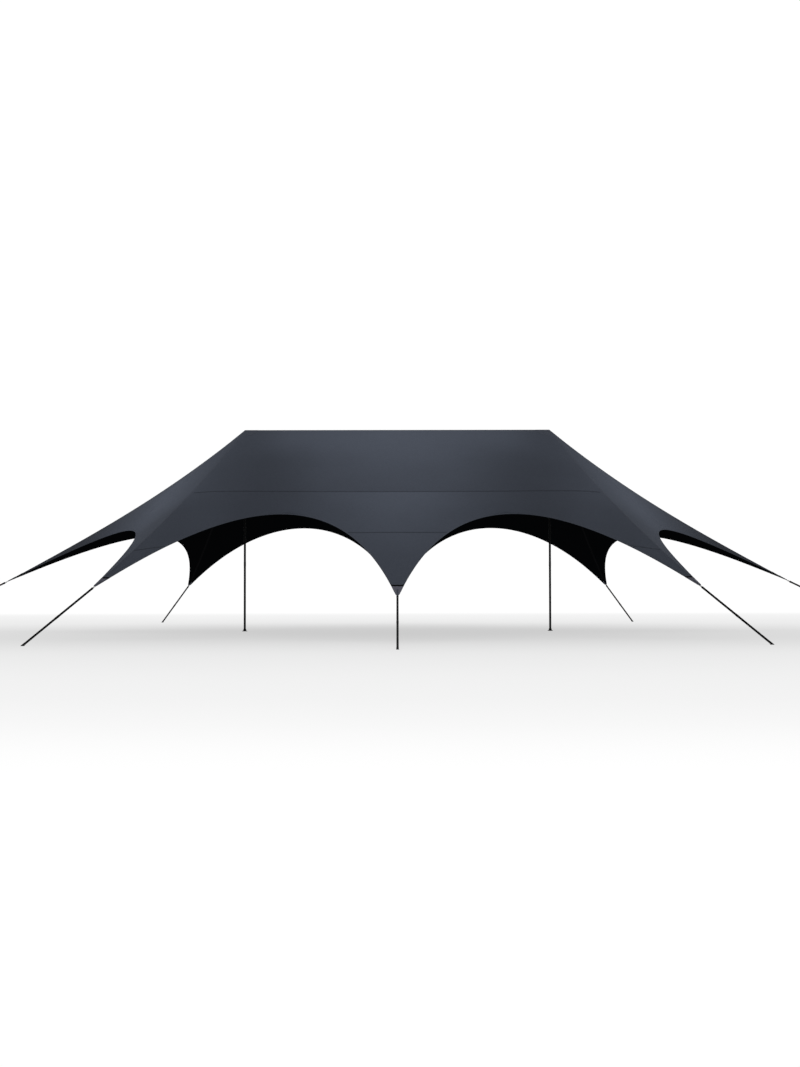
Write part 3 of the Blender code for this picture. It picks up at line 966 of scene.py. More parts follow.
@functools.lru_cache(maxsize=None)
def finish(kind):
    """The material of one kind of surface, made once from the panel's colours."""
    scene = bpy.context.scene
    cloth, trim, metal = scene.tent_cloth, scene.tent_trim, scene.tent_metal
    makers = {
        'outside': lambda: cloth_material('Canopy cloth', cloth.outside, threads=500.0, weave_depth=0.0005,
                                          with_painted_shading=True),
        # The underside's near-black colour is painted shade, darker than the cloth itself, for the shade
        # under the canopy
        'inside': lambda: cloth_material('Canopy underside painted shade', cloth.inside, threads=500.0,
                                         weave_depth=0.0003, specular=0.0),
        'hem': lambda: cloth_material('Hem webbing', trim.hem, threads=400.0, weave_depth=0.0006,
                                      row_at=HEM_STITCHES_AT, thread_colour=trim.thread, with_painted_shading=True),
        'tape': lambda: cloth_material('Seam tape', trim.tape, threads=450.0, weave_depth=0.0004,
                                       row_at=trim.tape_width / 2 - TAPE_STITCHES_IN,
                                       thread_colour=trim.thread, with_painted_shading=True),
        'belt': lambda: cloth_material('Belt webbing', trim.belt, threads=260.0, weave_depth=0.0010,
                                       row_at=trim.belt_width / 2 - BELT_STITCHES_IN,
                                       thread_colour=trim.belt_thread, specular=0.0),
        'patch': lambda: cloth_material('Tip patch', trim.patch, threads=320.0, weave_depth=0.0008,
                                        row_at=PATCH_STITCHES_AT, thread_colour=trim.thread, with_painted_shading=True),
        'pole': lambda: painted_material('Pole powder coat', metal.paint, metal.scuff, edge=0.5,
                                         scuffs=0.12, rough=0.50),
        'fitting': lambda: painted_material('Fitting enamel', metal.fitting, metal.scuff, edge=0.9,
                                            scuffs=0.3, rough=0.50),
        'ring': lambda: zinc_material('Dark zinc', metal.ring),
        'rubber': lambda: rubber_material('Peak rubber', metal.rubber),
    }
    return makers[kind]()


# What a user would change

# The settings that colours have in common, and lengths, and lengths shown to a tenth of a millimetre
COLOUR = {'size': 4, 'min': 0.0, 'max': 1.0, 'subtype': 'COLOR'}
LENGTH = {'subtype': 'DISTANCE', 'unit': 'LENGTH'}
FINE_LENGTH = {'precision': 4, **LENGTH}


class TentCloth(PropertyGroup):
    """Mesh and colours of the canopy."""
    strips: IntProperty(name="Strips", description="Strips of mesh across half an arm",
                        default=18, min=6, max=24)
    rows: IntProperty(name="Rows", description="Rows of mesh along an arm's free edge",
                      default=30, min=10, max=40)
    thickness: FloatProperty(name="Thickness", description="Thickness of the sheet", default=0.003,
                             min=0.001, max=0.012, **FINE_LENGTH)
    fold_depth: FloatProperty(name="Fold depth", description="Height of the tension folds at the tips",
                              default=0.0022, min=0.0, max=0.006, **FINE_LENGTH)
    outside: FloatVectorProperty(name="Outside", description="Colour of the outer face",
                                 default=(0.0575, 0.0660, 0.0860, 1.0), **COLOUR)
    # The inside colour is painted shade: near-black, darker than the cloth itself, for the shade under the
    # canopy
    inside: FloatVectorProperty(name="Inside", description="Near-black colour of the underside, painted shade",
                                default=(0.0016, 0.0018, 0.0022, 1.0), **COLOUR)


class TentTrim(PropertyGroup):
    """Sizes and colours of what is sewn to the canopy."""
    hem_width: FloatProperty(name="Hem width", description="Width of the hem on the free edges",
                             default=0.034, min=0.01, max=0.1, **FINE_LENGTH)
    tape_width: FloatProperty(name="Tape width", description="Width of the tape over a seam",
                              default=0.036, min=0.01, max=0.1, **FINE_LENGTH)
    belt_width: FloatProperty(name="Belt width", description="Width of the belts under the crests",
                              default=0.050, min=0.02, max=0.1, **FINE_LENGTH)
    patch_length: FloatProperty(name="Patch length", description="Length of the patch at each tip",
                                default=0.33, min=0.2, max=0.8, **LENGTH)
    hem: FloatVectorProperty(name="Hem", description="Colour of the hem",
                             default=(0.0600, 0.0680, 0.0870, 1.0), **COLOUR)
    tape: FloatVectorProperty(name="Tape", description="Colour of the seam tape",
                              default=(0.0330, 0.0385, 0.0505, 1.0), **COLOUR)
    belt: FloatVectorProperty(name="Belt", description="Colour of the belts and loops",
                              default=(0.0035, 0.0035, 0.004, 1.0), **COLOUR)
    patch: FloatVectorProperty(name="Patch", description="Colour of the tip patches",
                               default=(0.1100, 0.1100, 0.1380, 1.0), **COLOUR)
    thread: FloatVectorProperty(name="Thread", description="Colour of the sewing thread",
                                default=(0.085, 0.094, 0.115, 1.0), **COLOUR)
    belt_thread: FloatVectorProperty(name="Belt thread", description="Colour of the thread in the belts",
                                     default=(0.010, 0.010, 0.011, 1.0), **COLOUR)


class TentMetal(PropertyGroup):
    """Sizes and colours of the poles' fittings."""
    sleeve_wall: FloatProperty(name="Sleeve wall", description="How far a joint sleeve stands off its pole",
                               default=0.0016, min=0.0005, max=0.01, **FINE_LENGTH)
    ring_wire: FloatProperty(name="Ring wire", description="Radius of the wire of the tip rings",
                             default=0.0035, min=0.002, max=0.006, **FINE_LENGTH)
    paint: FloatVectorProperty(name="Poles", description="Colour of the powder coat",
                               default=(0.0020, 0.0020, 0.0023, 1.0), **COLOUR)
    fitting: FloatVectorProperty(name="Fittings", description="Colour of heads, plates and sleeves",
                                 default=(0.0040, 0.0040, 0.0044, 1.0), **COLOUR)
    scuff: FloatVectorProperty(name="Scuffs", description="Colour where the paint is rubbed",
                               default=(0.030, 0.030, 0.032, 1.0), **COLOUR)
    ring: FloatVectorProperty(name="Rings", description="Colour of the zinc on rings and eyes",
                              default=(0.12, 0.12, 0.125, 1.0), **COLOUR)
    rubber: FloatVectorProperty(name="Rubber", description="Colour of the peak pads",
                                default=(0.018, 0.018, 0.018, 1.0), **COLOUR)


class TentStage(PropertyGroup):
    """Light, floor and camera of the studio."""
    floor_half: FloatProperty(name="Floor reach", description="Half the side of the floor", default=80.0,
                              min=15.0, max=200.0, **LENGTH)
    floor: FloatVectorProperty(name="Floor", description="Colour of the floor",
                               default=(0.13, 0.13, 0.13, 1.0), **COLOUR)
    floor_glow: FloatProperty(name="Floor glow", description="Strength of the floor's own light",
                              default=1.0, min=0.0, max=2.0)
    sky: FloatProperty(name="Sky light", description="Strength of the even light all round",
                       default=0.50, min=0.0, max=3.0)
    key_power: FloatProperty(name="Overhead softbox", description="Power of the softbox over the middle",
                             default=75.0, min=0.0, max=2000.0, subtype='POWER', unit='POWER')
    side_power: FloatProperty(name="Side softboxes", description="Power of each softbox at the sides",
                              default=560.0, min=0.0, max=20000.0, subtype='POWER', unit='POWER')
    lens: FloatProperty(name="Lens", description="Focal length on a 36 mm frame", default=52.37,
                        min=10.0, max=300.0, subtype='DISTANCE_CAMERA', unit='CAMERA')


# One operator for each kind of piece

class TENT_OT_canopy(Operator):
    """Stretch the one continuous sheet over the peaks and out to the eight tips"""
    bl_idname = "tent.canopy"
    bl_label = "Canopy"

    def execute(self, context):
        cloth = context.scene.tent_cloth
        bm = bmesh.new()
        for grid in quarter_grids(cloth.strips, cloth.rows).values():
            for x_sign, y_sign in QUARTERS:
                grid_of(bm, [[Vector(p) for p in row] for row in grid * (x_sign, y_sign, 1.0)])
        bmesh.ops.remove_doubles(bm, verts=bm.verts, dist=SHEET_MERGE)
        bmesh.ops.recalc_face_normals(bm, faces=bm.faces)
        if sum(face.normal.z for face in bm.faces) < 0:
            bmesh.ops.reverse_faces(bm, faces=bm.faces)
        self.crease(bm, cloth)
        rough = mesh_of('rough', bm)
        draft = placed('draft', rough)
        smooth = draft.modifiers.new('smooth', 'SUBSURF')
        smooth.levels = smooth.render_levels = 1
        smooth.boundary_smooth = 'PRESERVE_CORNERS'
        mesh = bpy.data.meshes.new_from_object(draft.evaluated_get(context.evaluated_depsgraph_get()))
        bpy.data.objects.remove(draft)
        bpy.data.meshes.remove(rough)
        mesh.name = 'canopy'
        self.fold(mesh, cloth.fold_depth)
        mesh.shade_smooth()
        # The lower face takes the second material, the underside's near-black painted shade
        for kind in ('outside', 'inside'):
            mesh.materials.append(finish(kind))
        sheet = placed('canopy', mesh)
        wall = sheet.modifiers.new('thickness', 'SOLIDIFY')
        wall.thickness = cloth.thickness
        wall.offset = -1.0
        wall.material_offset = 1
        wall.material_offset_rim = 0
        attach(sheet, 'root')
        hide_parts(*('canopy_' + name for name in ARMS))
        return {'FINISHED'}

    def crease(self, bm, cloth):
        """Keep the ridge and the peaks sharp."""
        edges = bm.edges.layers.float.new('crease_edge')
        points = bm.verts.layers.float.new('crease_vert')
        ridge = {self.key(p * (sign, 1, 1)) for p in quarter_grids(cloth.strips, cloth.rows)['centre'][-1]
                 for sign in (-1, 1)}
        peaks = {self.key((sign * RIDGE_HALF, 0.0, RIDGE_HEIGHT)) for sign in (-1, 1)}
        for edge in bm.edges:
            edge[edges] = float({self.key(vert.co) for vert in edge.verts} <= ridge)
        for vert in bm.verts:
            vert[points] = float(self.key(vert.co) in peaks)

    def key(self, point):
        """A point to the nearest millimetre, to tell whether two are the same."""
        return tuple(round(c, 3) + 0.0 for c in point)

    def fold(self, mesh, depth):
        """Raise the fan of shallow tension folds that runs in from every tip."""
        flat = np.empty(len(mesh.vertices) * 3)
        mesh.vertices.foreach_get('co', flat)
        places = flat.reshape(-1, 3)
        normals = np.array([v.normal for v in mesh.vertices])
        lift = np.zeros(len(places))
        for kind, x_sign, y_sign in ARMS.values():
            tip = np.array(TIPS[kind]) * (x_sign, y_sign, 1.0)
            inward = tip[:2] - np.array(FEET[kind]) * (x_sign, y_sign)
            inward /= np.linalg.norm(inward)
            away = places[:, :2] - tip[:2]
            along = away @ inward + FAN_BEHIND
            across = away @ np.array((-inward[1], inward[0]))
            angle = np.arctan2(across, along)
            reach = np.clip(np.hypot(along, across) - FOLD_START, 0.0, None)
            strength = (reach / FOLD_SWELL) * np.exp(1.0 - reach / FOLD_SWELL)
            in_fan = (np.abs(angle) < FAN_HALF_ANGLE) * (reach < FOLD_REACH)
            lift += strength * np.cos(angle * FOLD_RATE) * in_fan
        places += normals * (lift * depth)[:, None]
        mesh.vertices.foreach_set('co', places.ravel())
        mesh.update()


class TENT_OT_hems(Operator):
    """Sew a corded hem round every free edge"""
    bl_idname = "tent.hems"
    bl_label = "Hems"

    def execute(self, context):
        cloth, trim = context.scene.tent_cloth, context.scene.tent_trim
        surface = Surface()
        source, bm = bmesh.new(), bmesh.new()
        source.from_mesh(bpy.data.objects['canopy'].data)
        for run in self.edge_runs(source):
            frames = self.edge_frames(run, surface, trim.hem_width)
            swept(bm, frames, self.section(trim.hem_width, cloth.thickness))
        source.free()
        surface.line(bm, cloth.thickness)
        # The lower faces take the underside's near-black painted shade
        finished('hems', bm, 'canopy', finish('hem'), finish('inside'))
        return {'FINISHED'}

    def section(self, width, thick):
        """The hem's section: a flat turn-over on both faces, and a cord at the edge."""
        top, low = HEM_RISE, -thick - HEM_RISE
        middle = -thick / 2
        cord = [(HEM_CORD * math.cos(a), middle + HEM_CORD * math.sin(a))
                for a in (math.radians(d) for d in range(60, 301, 30))]
        return ([(width, middle + HEM_EDGE), (width - HEM_TAPER, top), (HEM_CORD_REACH, top)] + cord
                + [(HEM_CORD_REACH, low), (width - HEM_TAPER, low), (width, middle - HEM_EDGE)])

    def edge_runs(self, source):
        """The sheet's rim, cut at the corners of the tips into its long free edges."""
        follow = {}
        for edge in source.edges:
            if edge.is_boundary:
                for vert in edge.verts:
                    follow.setdefault(vert, []).append(edge.other_vert(vert))
        start = next(iter(follow))
        ring, before = [start], None
        while True:
            after = [v for v in follow[ring[-1]] if v is not before][0]
            before = ring[-1]
            if after is start:
                break
            ring.append(after)
        corners = []
        for k, vert in enumerate(ring):
            into = (vert.co - ring[k - 1].co).normalized()
            out = (ring[(k + 1) % len(ring)].co - vert.co).normalized()
            if into.angle(out) > RIM_CORNER:
                corners.append(k)
        runs = []
        for a, b in zip(corners, corners[1:] + [corners[0] + len(ring)]):
            run = [ring[k % len(ring)] for k in range(a, b + 1)]
            if (run[0].co - run[-1].co).length > SHORTEST_HEM:
                runs.append(run)
        return runs

    def edge_frames(self, run, surface, width):
        """A frame at each point of the rim, whose side way runs in along the cloth. The tip patches cover
        both ends, so the frames stop one point short of them, and narrow towards them."""
        ways = [(run[min(k + 1, len(run) - 1)].co - run[max(k - 1, 0)].co).normalized()
                for k in range(len(run))]
        sides = [vert.normal.cross(way).normalized() for vert, way in zip(run, ways)]
        inside = sum(side.dot(self.middle(vert) - vert.co) for vert, side in zip(run, sides))
        frames = []
        for vert, way, side in list(zip(run, ways, sides))[1:-1]:
            spot = surface.near(vert.co + side * math.copysign(width, inside))[0]
            inward = (spot - vert.co).normalized()
            up = way.cross(inward).normalized()
            left = min((vert.co - end.co).length for end in (run[0], run[-1]))
            share = min(1.0, HEM_TIP_SHARE + left / HEM_WIDENS_OVER)
            frames.append((vert.co.copy(), inward * share, up * math.copysign(1.0, up.z)))
        return frames

    def middle(self, vert):
        """The middle of the faces round a point."""
        return sum((face.calc_center_median() for face in vert.link_faces), Vector()) / len(vert.link_faces)


def straight(start, end, step=SEAM_STEP):
    """Points of a straight path in plan."""
    start, end = Vector(start), Vector(end)
    count = max(2, round((end - start).length / step))
    return [start.lerp(end, k / count) for k in range(count + 1)]


def crest_paths(cloth):
    """The crest of every arm, from its peak or the ridge out to its tip."""
    grids = quarter_grids(cloth.strips, cloth.rows)
    paths = {}
    for name, (kind, x_sign, y_sign) in ARMS.items():
        line = {'centre': grids['centre'][::-1, 0], 'corner': grids['corner_inner'][:, 0],
                'end': grids['end'][:, 0]}[kind]
        paths[name] = halved([Vector(p) for p in line * (x_sign, y_sign, 1.0)])
    return paths


def halved(points):
    """The same path with a point added in the middle of every step."""
    fuller = []
    for a, b in zip(points, points[1:]):
        fuller += [a, (a + b) / 2]
    return fuller + [points[-1]]


class TENT_OT_seams(Operator):
    """Tape the seams: ridge, cross seams, crests, and from the peaks to the end arches"""
    bl_idname = "tent.seams"
    bl_label = "Seams"

    def execute(self, context):
        cloth, trim = context.scene.tent_cloth, context.scene.tent_trim
        surface = Surface()
        width = trim.tape_width
        for name, kind, paths in (('seam_tapes', 'tape', self.cross_seams(surface, width)),
                                  ('crest_tapes', 'hem', self.long_seams(surface, cloth, width))):
            bm = bmesh.new()
            for path, wide in paths:
                band(bm, surface, path, wide, TAPE_RISE, TAPE_DEPTH)
            finished(name, bm, 'canopy', finish(kind))
        return {'FINISHED'}

    def cross_seams(self, surface, width):
        """The seams that run across the arms."""
        for y_sign in (-1, 1):
            paths = [[Vector((x, y_sign * (SEAM_AT - SEAM_BOW * x * x), 0.0))
                      for x in np.arange(-SEAM_HALF, SEAM_HALF + 0.001, SEAM_STEP)]]
            y = y_sign * OUTER_SEAM_AT
            paths.append(straight((-OUTER_SEAM_HALF, y, 0), (OUTER_SEAM_HALF, y, 0), SEAM_STEP / 2))
            y = y_sign * CORNER_SEAM_AT
            for x_sign in (-1, 1):
                start, end = (x_sign * x for x in CORNER_SEAM_SPAN)
                paths.append(straight((start, y, 0), (end, y, 0), CORNER_SEAM_STEP))
            for path in paths:
                yield self.on_cloth(surface, path), width

    def long_seams(self, surface, cloth, width):
        """The ridge, the crests, and the seams that run out from the peaks over the end panels."""
        ridge = straight((-RIDGE_HALF, 0, RIDGE_HEIGHT), (RIDGE_HALF, 0, RIDGE_HEIGHT))
        yield ridge, width * RIDGE_TAPE_SHARE
        for x_sign, y_sign in QUARTERS:
            middle = bezier(quarter_edges()[1], 0.5) * (x_sign, y_sign, 1.0)
            peak = Vector((x_sign * RIDGE_HALF, 0.0, 0.0))
            yield self.on_cloth(surface, straight(peak, (middle[0], middle[1], 0.0))), width
        crests = crest_paths(cloth)
        for name in ARMS:
            if not name.endswith('_centre'):
                yield crests[name], width
        end = quarter_grids(cloth.strips, cloth.rows)['end']
        for share in RIBS_AT:
            line = end[:, round(cloth.strips * share)]
            for signs in QUARTERS:
                yield halved([Vector(p) for p in line * (*signs, 1.0)]), width * RIB_TAPE_SHARE

    def on_cloth(self, surface, path):
        """The points of a path in plan that lie on the cloth, at the cloth's height."""
        return [hit[0] for hit in (surface.hit(p.x, p.y) for p in path) if hit]


class TENT_OT_belts(Operator):
    """Sew the load belts under the crests of the eight arms"""
    bl_idname = "tent.belts"
    bl_label = "Crest belts"

    def execute(self, context):
        cloth, trim = context.scene.tent_cloth, context.scene.tent_trim
        surface = Surface()
        bm = bmesh.new()
        paths = crest_paths(cloth)
        # One belt runs from the front tip over the ridge to the back tip
        over = paths.pop('front_centre')[::-1] + paths.pop('back_centre')[1:]
        for path in (over, *paths.values()):
            band(bm, surface, path, trim.belt_width, LET_IN - cloth.thickness, cloth.thickness + BELT_DROP)
        finished('crest_belts', bm, 'canopy', finish('belt'))
        return {'FINISHED'}


class TENT_OT_patches(Operator):
    """Sew a patch, its dark binding and a webbing loop on every tip"""
    bl_idname = "tent.patches"
    bl_label = "Tip patches"

    def execute(self, context):
        scene = context.scene
        trim, thick = scene.tent_trim, scene.tent_cloth.thickness
        surface = Surface()
        patches, bindings, loops = bmesh.new(), bmesh.new(), bmesh.new()
        length = trim.patch_length
        for name in ARMS:
            arm = Arm(name, surface)
            self.patch(patches, arm, thick, 0.0, length, TIP_PATCH_RISE)
            self.patch(bindings, arm, thick, length - trim.belt_width, length, TIP_PATCH_RISE + BINDING_RISE)
            self.loop(loops, surface, arm, thick, scene.tent_metal.ring_wire)
        surface.line(patches, thick)
        # The lower faces take the underside's near-black painted shade
        finished('tip_patches', patches, 'canopy', finish('patch'), finish('inside'))
        finished('tip_bindings', bindings, 'canopy', finish('belt'))
        finished('tip_loops', loops, 'canopy', finish('hem'))
        return {'FINISHED'}

    def patch(self, bm, arm, thick, start, length, rise):
        """A cap over the tip, on both faces, or a band of it from a start on. Its stitches run along
        the straight inner end."""
        cuts = [(arm.tip + arm.inward * length, arm.inward)]
        if start:
            cuts.append((arm.tip + arm.inward * start, -arm.inward))
        middle = (start + length) / 2 if start else length

        def tick(point):
            off = point - arm.tip
            return off.dot(arm.inward) - middle, off.dot(arm.aside)

        cut_from_sheet(bm, cuts, rise, thick + rise, tick)

    def loop(self, bm, surface, arm, thick, wire):
        """A strap from the patch's face, round the ring's bar and back under the cloth."""
        half = LOOP_HALF_THICK
        bar = arm.start + arm.along * RING_BAR_AT
        over, under = [], []
        for distance in LOOP_LAID_AT:
            point = arm.tip + arm.inward * distance
            place, normal = surface.under(point.x, point.y, point.z)
            over.append(place + normal * (TIP_PATCH_RISE + half))
            under.append(place - normal * (thick + TIP_PATCH_RISE + half))
        turn = [bar + arm.upward * (wire + half) * math.cos(a) + arm.along * (wire + half) * math.sin(a)
                for a in (math.pi * k / 8 for k in range(9))]
        swept(bm, frames_on(over + turn + under[::-1], arm.aside), strap_section(LOOP_WIDTH, 2 * half))


class TENT_OT_peaks(Operator):
    """Reinforce the cloth at both peaks, with a rubber pad on each pole head"""
    bl_idname = "tent.peaks"
    bl_label = "Peak pads"

    def execute(self, context):
        thick = context.scene.tent_cloth.thickness
        patches, pads = bmesh.new(), bmesh.new()
        for sign in HANDS.values():
            self.pad(patches, sign, PEAK_PATCH_RADIUS, PEAK_PATCH_RISE, 0.0, PEAK_PATCH_SIDES)
            self.pad(patches, sign, INNER_PATCH_RADIUS, LET_IN - thick, thick + PEAK_PATCH_RISE,
                     PEAK_PATCH_SIDES)
            self.pad(pads, sign, PAD_RADIUS, LET_IN - thick, SOLID_CLOTH - PAD_CLEARANCE, PAD_SIDES)
        Surface().line(patches, thick)
        # The lower faces take the underside's near-black painted shade
        finished('peak_patches', patches, 'canopy', finish('hem'), finish('inside'))
        finished('peak_pads', pads, 'pole_head', finish('rubber'))
        return {'FINISHED'}

    def pad(self, bm, sign, radius, above, below, sides):
        """A many-sided pad round the peak, in the cloth's own shape."""
        centre = Vector((sign * RIDGE_HALF, 0.0, RIDGE_HEIGHT))
        turns = [2 * math.pi * (k + 0.5) / sides for k in range(sides)]
        outs = [Vector((math.cos(a), math.sin(a), 0.0)) for a in turns]
        reach = radius * math.cos(math.pi / sides)

        def tick(point):
            off = point - centre
            side = max(outs, key=off.dot)
            return (off.dot(side) - reach, off.x * side.y - off.y * side.x)

        cut_from_sheet(bm, [(centre + out * reach, out) for out in outs], above, below, tick)


class TENT_OT_rings(Operator):
    """Join every tip to its pole with a galvanised ring and an eye"""
    bl_idname = "tent.rings"
    bl_label = "Tip rings"

    def execute(self, context):
        wire = context.scene.tent_metal.ring_wire
        surface = Surface()
        for name in ARMS:
            arm = Arm(name, surface)
            bm = bmesh.new()
            ring = ring_frames(arm.start + arm.along * RING_AT, arm.aside, arm.along, RING_REACH,
                               steps=32, shape=RING_SQUARENESS)
            swept(bm, ring, round_section(wire), loop=True)
            eye = ring_frames(arm.start + arm.along * EYE_AT, arm.upward, arm.along, EYE_REACH, steps=24)
            swept(bm, eye, round_section(wire + EYE_WIRE_EXTRA), loop=True)
            turned(bm, arm.start, arm.along, STUD_PROFILE, steps=16)
            turned(bm, arm.start, arm.along, NUT_PROFILE, steps=6)
            finished('tip_ring_' + name, bm, 'tip_link', finish('ring'), replaced=('tip_link_' + name,))
        return {'FINISHED'}


def recoat(prefix, names, kind):
    """Give the solids that stay their material."""
    for name in names:
        node_object = bpy.data.objects[prefix + name]
        if not node_object.material_slots:
            node_object.data.materials.append(None)
        for slot in node_object.material_slots:
            slot.material = finish(kind)


def tube_profile(start, end, radius, joints=()):
    """A tube's profile with softened ends and a fine groove at each joint."""
    edge = TUBE_EDGE
    profile = [(start, 0.0), (start, radius - edge), (start + edge, radius)]
    for joint in joints:
        profile += [(joint - edge, radius), (joint, radius - GROOVE_DEPTH), (joint + edge, radius)]
    return profile + [(end - edge, radius), (end, radius - edge), (end, 0.0)]


class TENT_OT_centre_poles(Operator):
    """Finish the two centre poles: joint sleeves, buttons, weld beads and screws"""
    bl_idname = "tent.centre_poles"
    bl_label = "Centre poles"

    def execute(self, context):
        wall = context.scene.tent_metal.sleeve_wall
        recoat('pole_head_', HANDS, 'fitting')
        recoat('base_plate_', HANDS, 'fitting')
        sleeves, welds = bmesh.new(), bmesh.new()
        up = Vector((0, 0, 1))
        for hand, sign in HANDS.items():
            base = Vector((sign * RIDGE_HALF, 0.0, 0.0))
            head_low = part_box('pole_head_' + hand)[0][2]
            low, high = (corner[2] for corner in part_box('centre_pole_' + hand))
            tube = bmesh.new()
            turned(tube, base, up, tube_profile(low, high, CENTRE_POLE_RADIUS, POLE_JOINTS), steps=40)
            finished('centre_tube_' + hand, tube, 'centre_pole', finish('pole'),
                     replaced=('centre_pole_' + hand,))
            radius = CENTRE_POLE_RADIUS + wall
            for height in POLE_JOINTS:
                turned(sleeves, base, up, sleeve_profile(height, SLEEVE_LENGTH, radius, SLEEVE_LIP))
                button(sleeves, base + up * (height + BUTTON_UP), Vector((0, -1, 0)), radius)
            turned(sleeves, base, up, sleeve_profile(head_low - NECK_DOWN, NECK_LENGTH, radius + NECK_WALL,
                                                     NECK_LIP))
            self.bead(welds, base + up * PLATE_THICK, BOSS_RADIUS, BOSS_WELD)
            self.bead(welds, base + up * BOSS_TOP, CENTRE_POLE_RADIUS, TUBE_WELD)
            for k in range(4):
                a = math.pi / 4 + k * math.pi / 2
                spot = base + Vector((math.cos(a), math.sin(a), 0.0)) * SCREW_CIRCLE
                turned(welds, spot, up, SCREW_PROFILE, steps=6)
        finished('centre_sleeves', sleeves, 'centre_pole', finish('fitting'))
        finished('base_welds', welds, 'base_plate', finish('fitting'))
        return {'FINISHED'}

    def bead(self, bm, centre, radius, size):
        """A weld bead round a tube, with its slight ripple."""
        frames = []
        steps = 48
        for k in range(steps):
            a = 2 * math.pi * k / steps
            out = Vector((math.cos(a), math.sin(a), 0.0))
            ripple = 1.0 + WELD_RIPPLE * math.sin(12 * a)
            frames.append((centre + out * radius, out * ripple, Vector((0, 0, ripple))))
        section = [(-size, -WELD_SUNK), (size, -WELD_SUNK), (0.75 * size, 0.55 * size), (0.1 * size, size),
                   (-size, size)]
        swept(bm, frames, section, loop=True)


def button(bm, spot, out, radius):
    """The spring button that locks a joint, on a sleeve of this radius."""
    turned(bm, spot, out, [(radius + height, wide) for height, wide in BUTTON_PROFILE], steps=16)


class TENT_OT_side_poles(Operator):
    """Finish the eight side poles: head caps, joint sleeves, buttons and welded feet"""
    bl_idname = "tent.side_poles"
    bl_label = "Side poles"

    def execute(self, context):
        wall = context.scene.tent_metal.sleeve_wall
        recoat('foot_plate_', ARMS, 'fitting')
        surface = Surface()
        sleeves, boots = bmesh.new(), bmesh.new()
        radius = SIDE_POLE_RADIUS + wall
        for name in ARMS:
            arm = Arm(name, surface)
            top, along = arm.head, arm.along
            length = (arm.end - top).length
            tube = bmesh.new()
            turned(tube, top, along, tube_profile(0.0, length - TUBE_SHORT, SIDE_POLE_RADIUS), steps=36)
            finished('side_tube_' + name, tube, 'side_pole', finish('pole'), replaced=('side_pole_' + name,))
            turned(sleeves, top, along, [
                (-CAP_NOSE, 0.0), (-CAP_NOSE, CAP_NOSE_RADIUS), (0.0, radius - 0.002), (CAP_NOSE, radius),
                (CAP_LENGTH - 0.002, radius), (CAP_LENGTH, radius - SLEEVE_LIP), (CAP_LENGTH, 0.0)])
            joint = length * SIDE_JOINT_SHARE
            turned(sleeves, top, along, sleeve_profile(joint, SIDE_SLEEVE_LENGTH, radius, SLEEVE_LIP))
            button(sleeves, top + along * (joint + SIDE_BUTTON_DOWN), arm.upward, radius)
            self.boot(boots, arm)
        finished('side_sleeves', sleeves, 'side_pole', finish('fitting'))
        finished('foot_collars', boots, 'foot_plate', finish('fitting'))
        return {'FINISHED'}

    def boot(self, bm, arm):
        """A welded collar on the foot plate, cut level where it meets the plate."""
        part = bmesh.new()
        radius = SIDE_POLE_RADIUS + COLLAR_WALL
        turned(part, arm.end, -arm.along, [
            (COLLAR_BELOW, 0.0), (COLLAR_BELOW, radius), (COLLAR_LENGTH - 0.002, radius),
            (COLLAR_LENGTH, radius - 0.001), (COLLAR_LENGTH, 0.0)])
        bmesh.ops.remove_doubles(part, verts=part.verts, dist=MERGE)
        cut = cut_off(part, (0, 0, PLATE_THICK - COLLAR_SUNK), (0, 0, -1))
        rim = [e for e in cut if isinstance(e, bmesh.types.BMEdge)]
        bmesh.ops.contextual_create(part, geom=rim)
        add_part(bm, part)


class TENT_OT_declare(Operator):
    """A step that does nothing"""
    bl_idname = "tent.declare"
    bl_label = "Sheet facts"

    def execute(self, context):
        return {'FINISHED'}


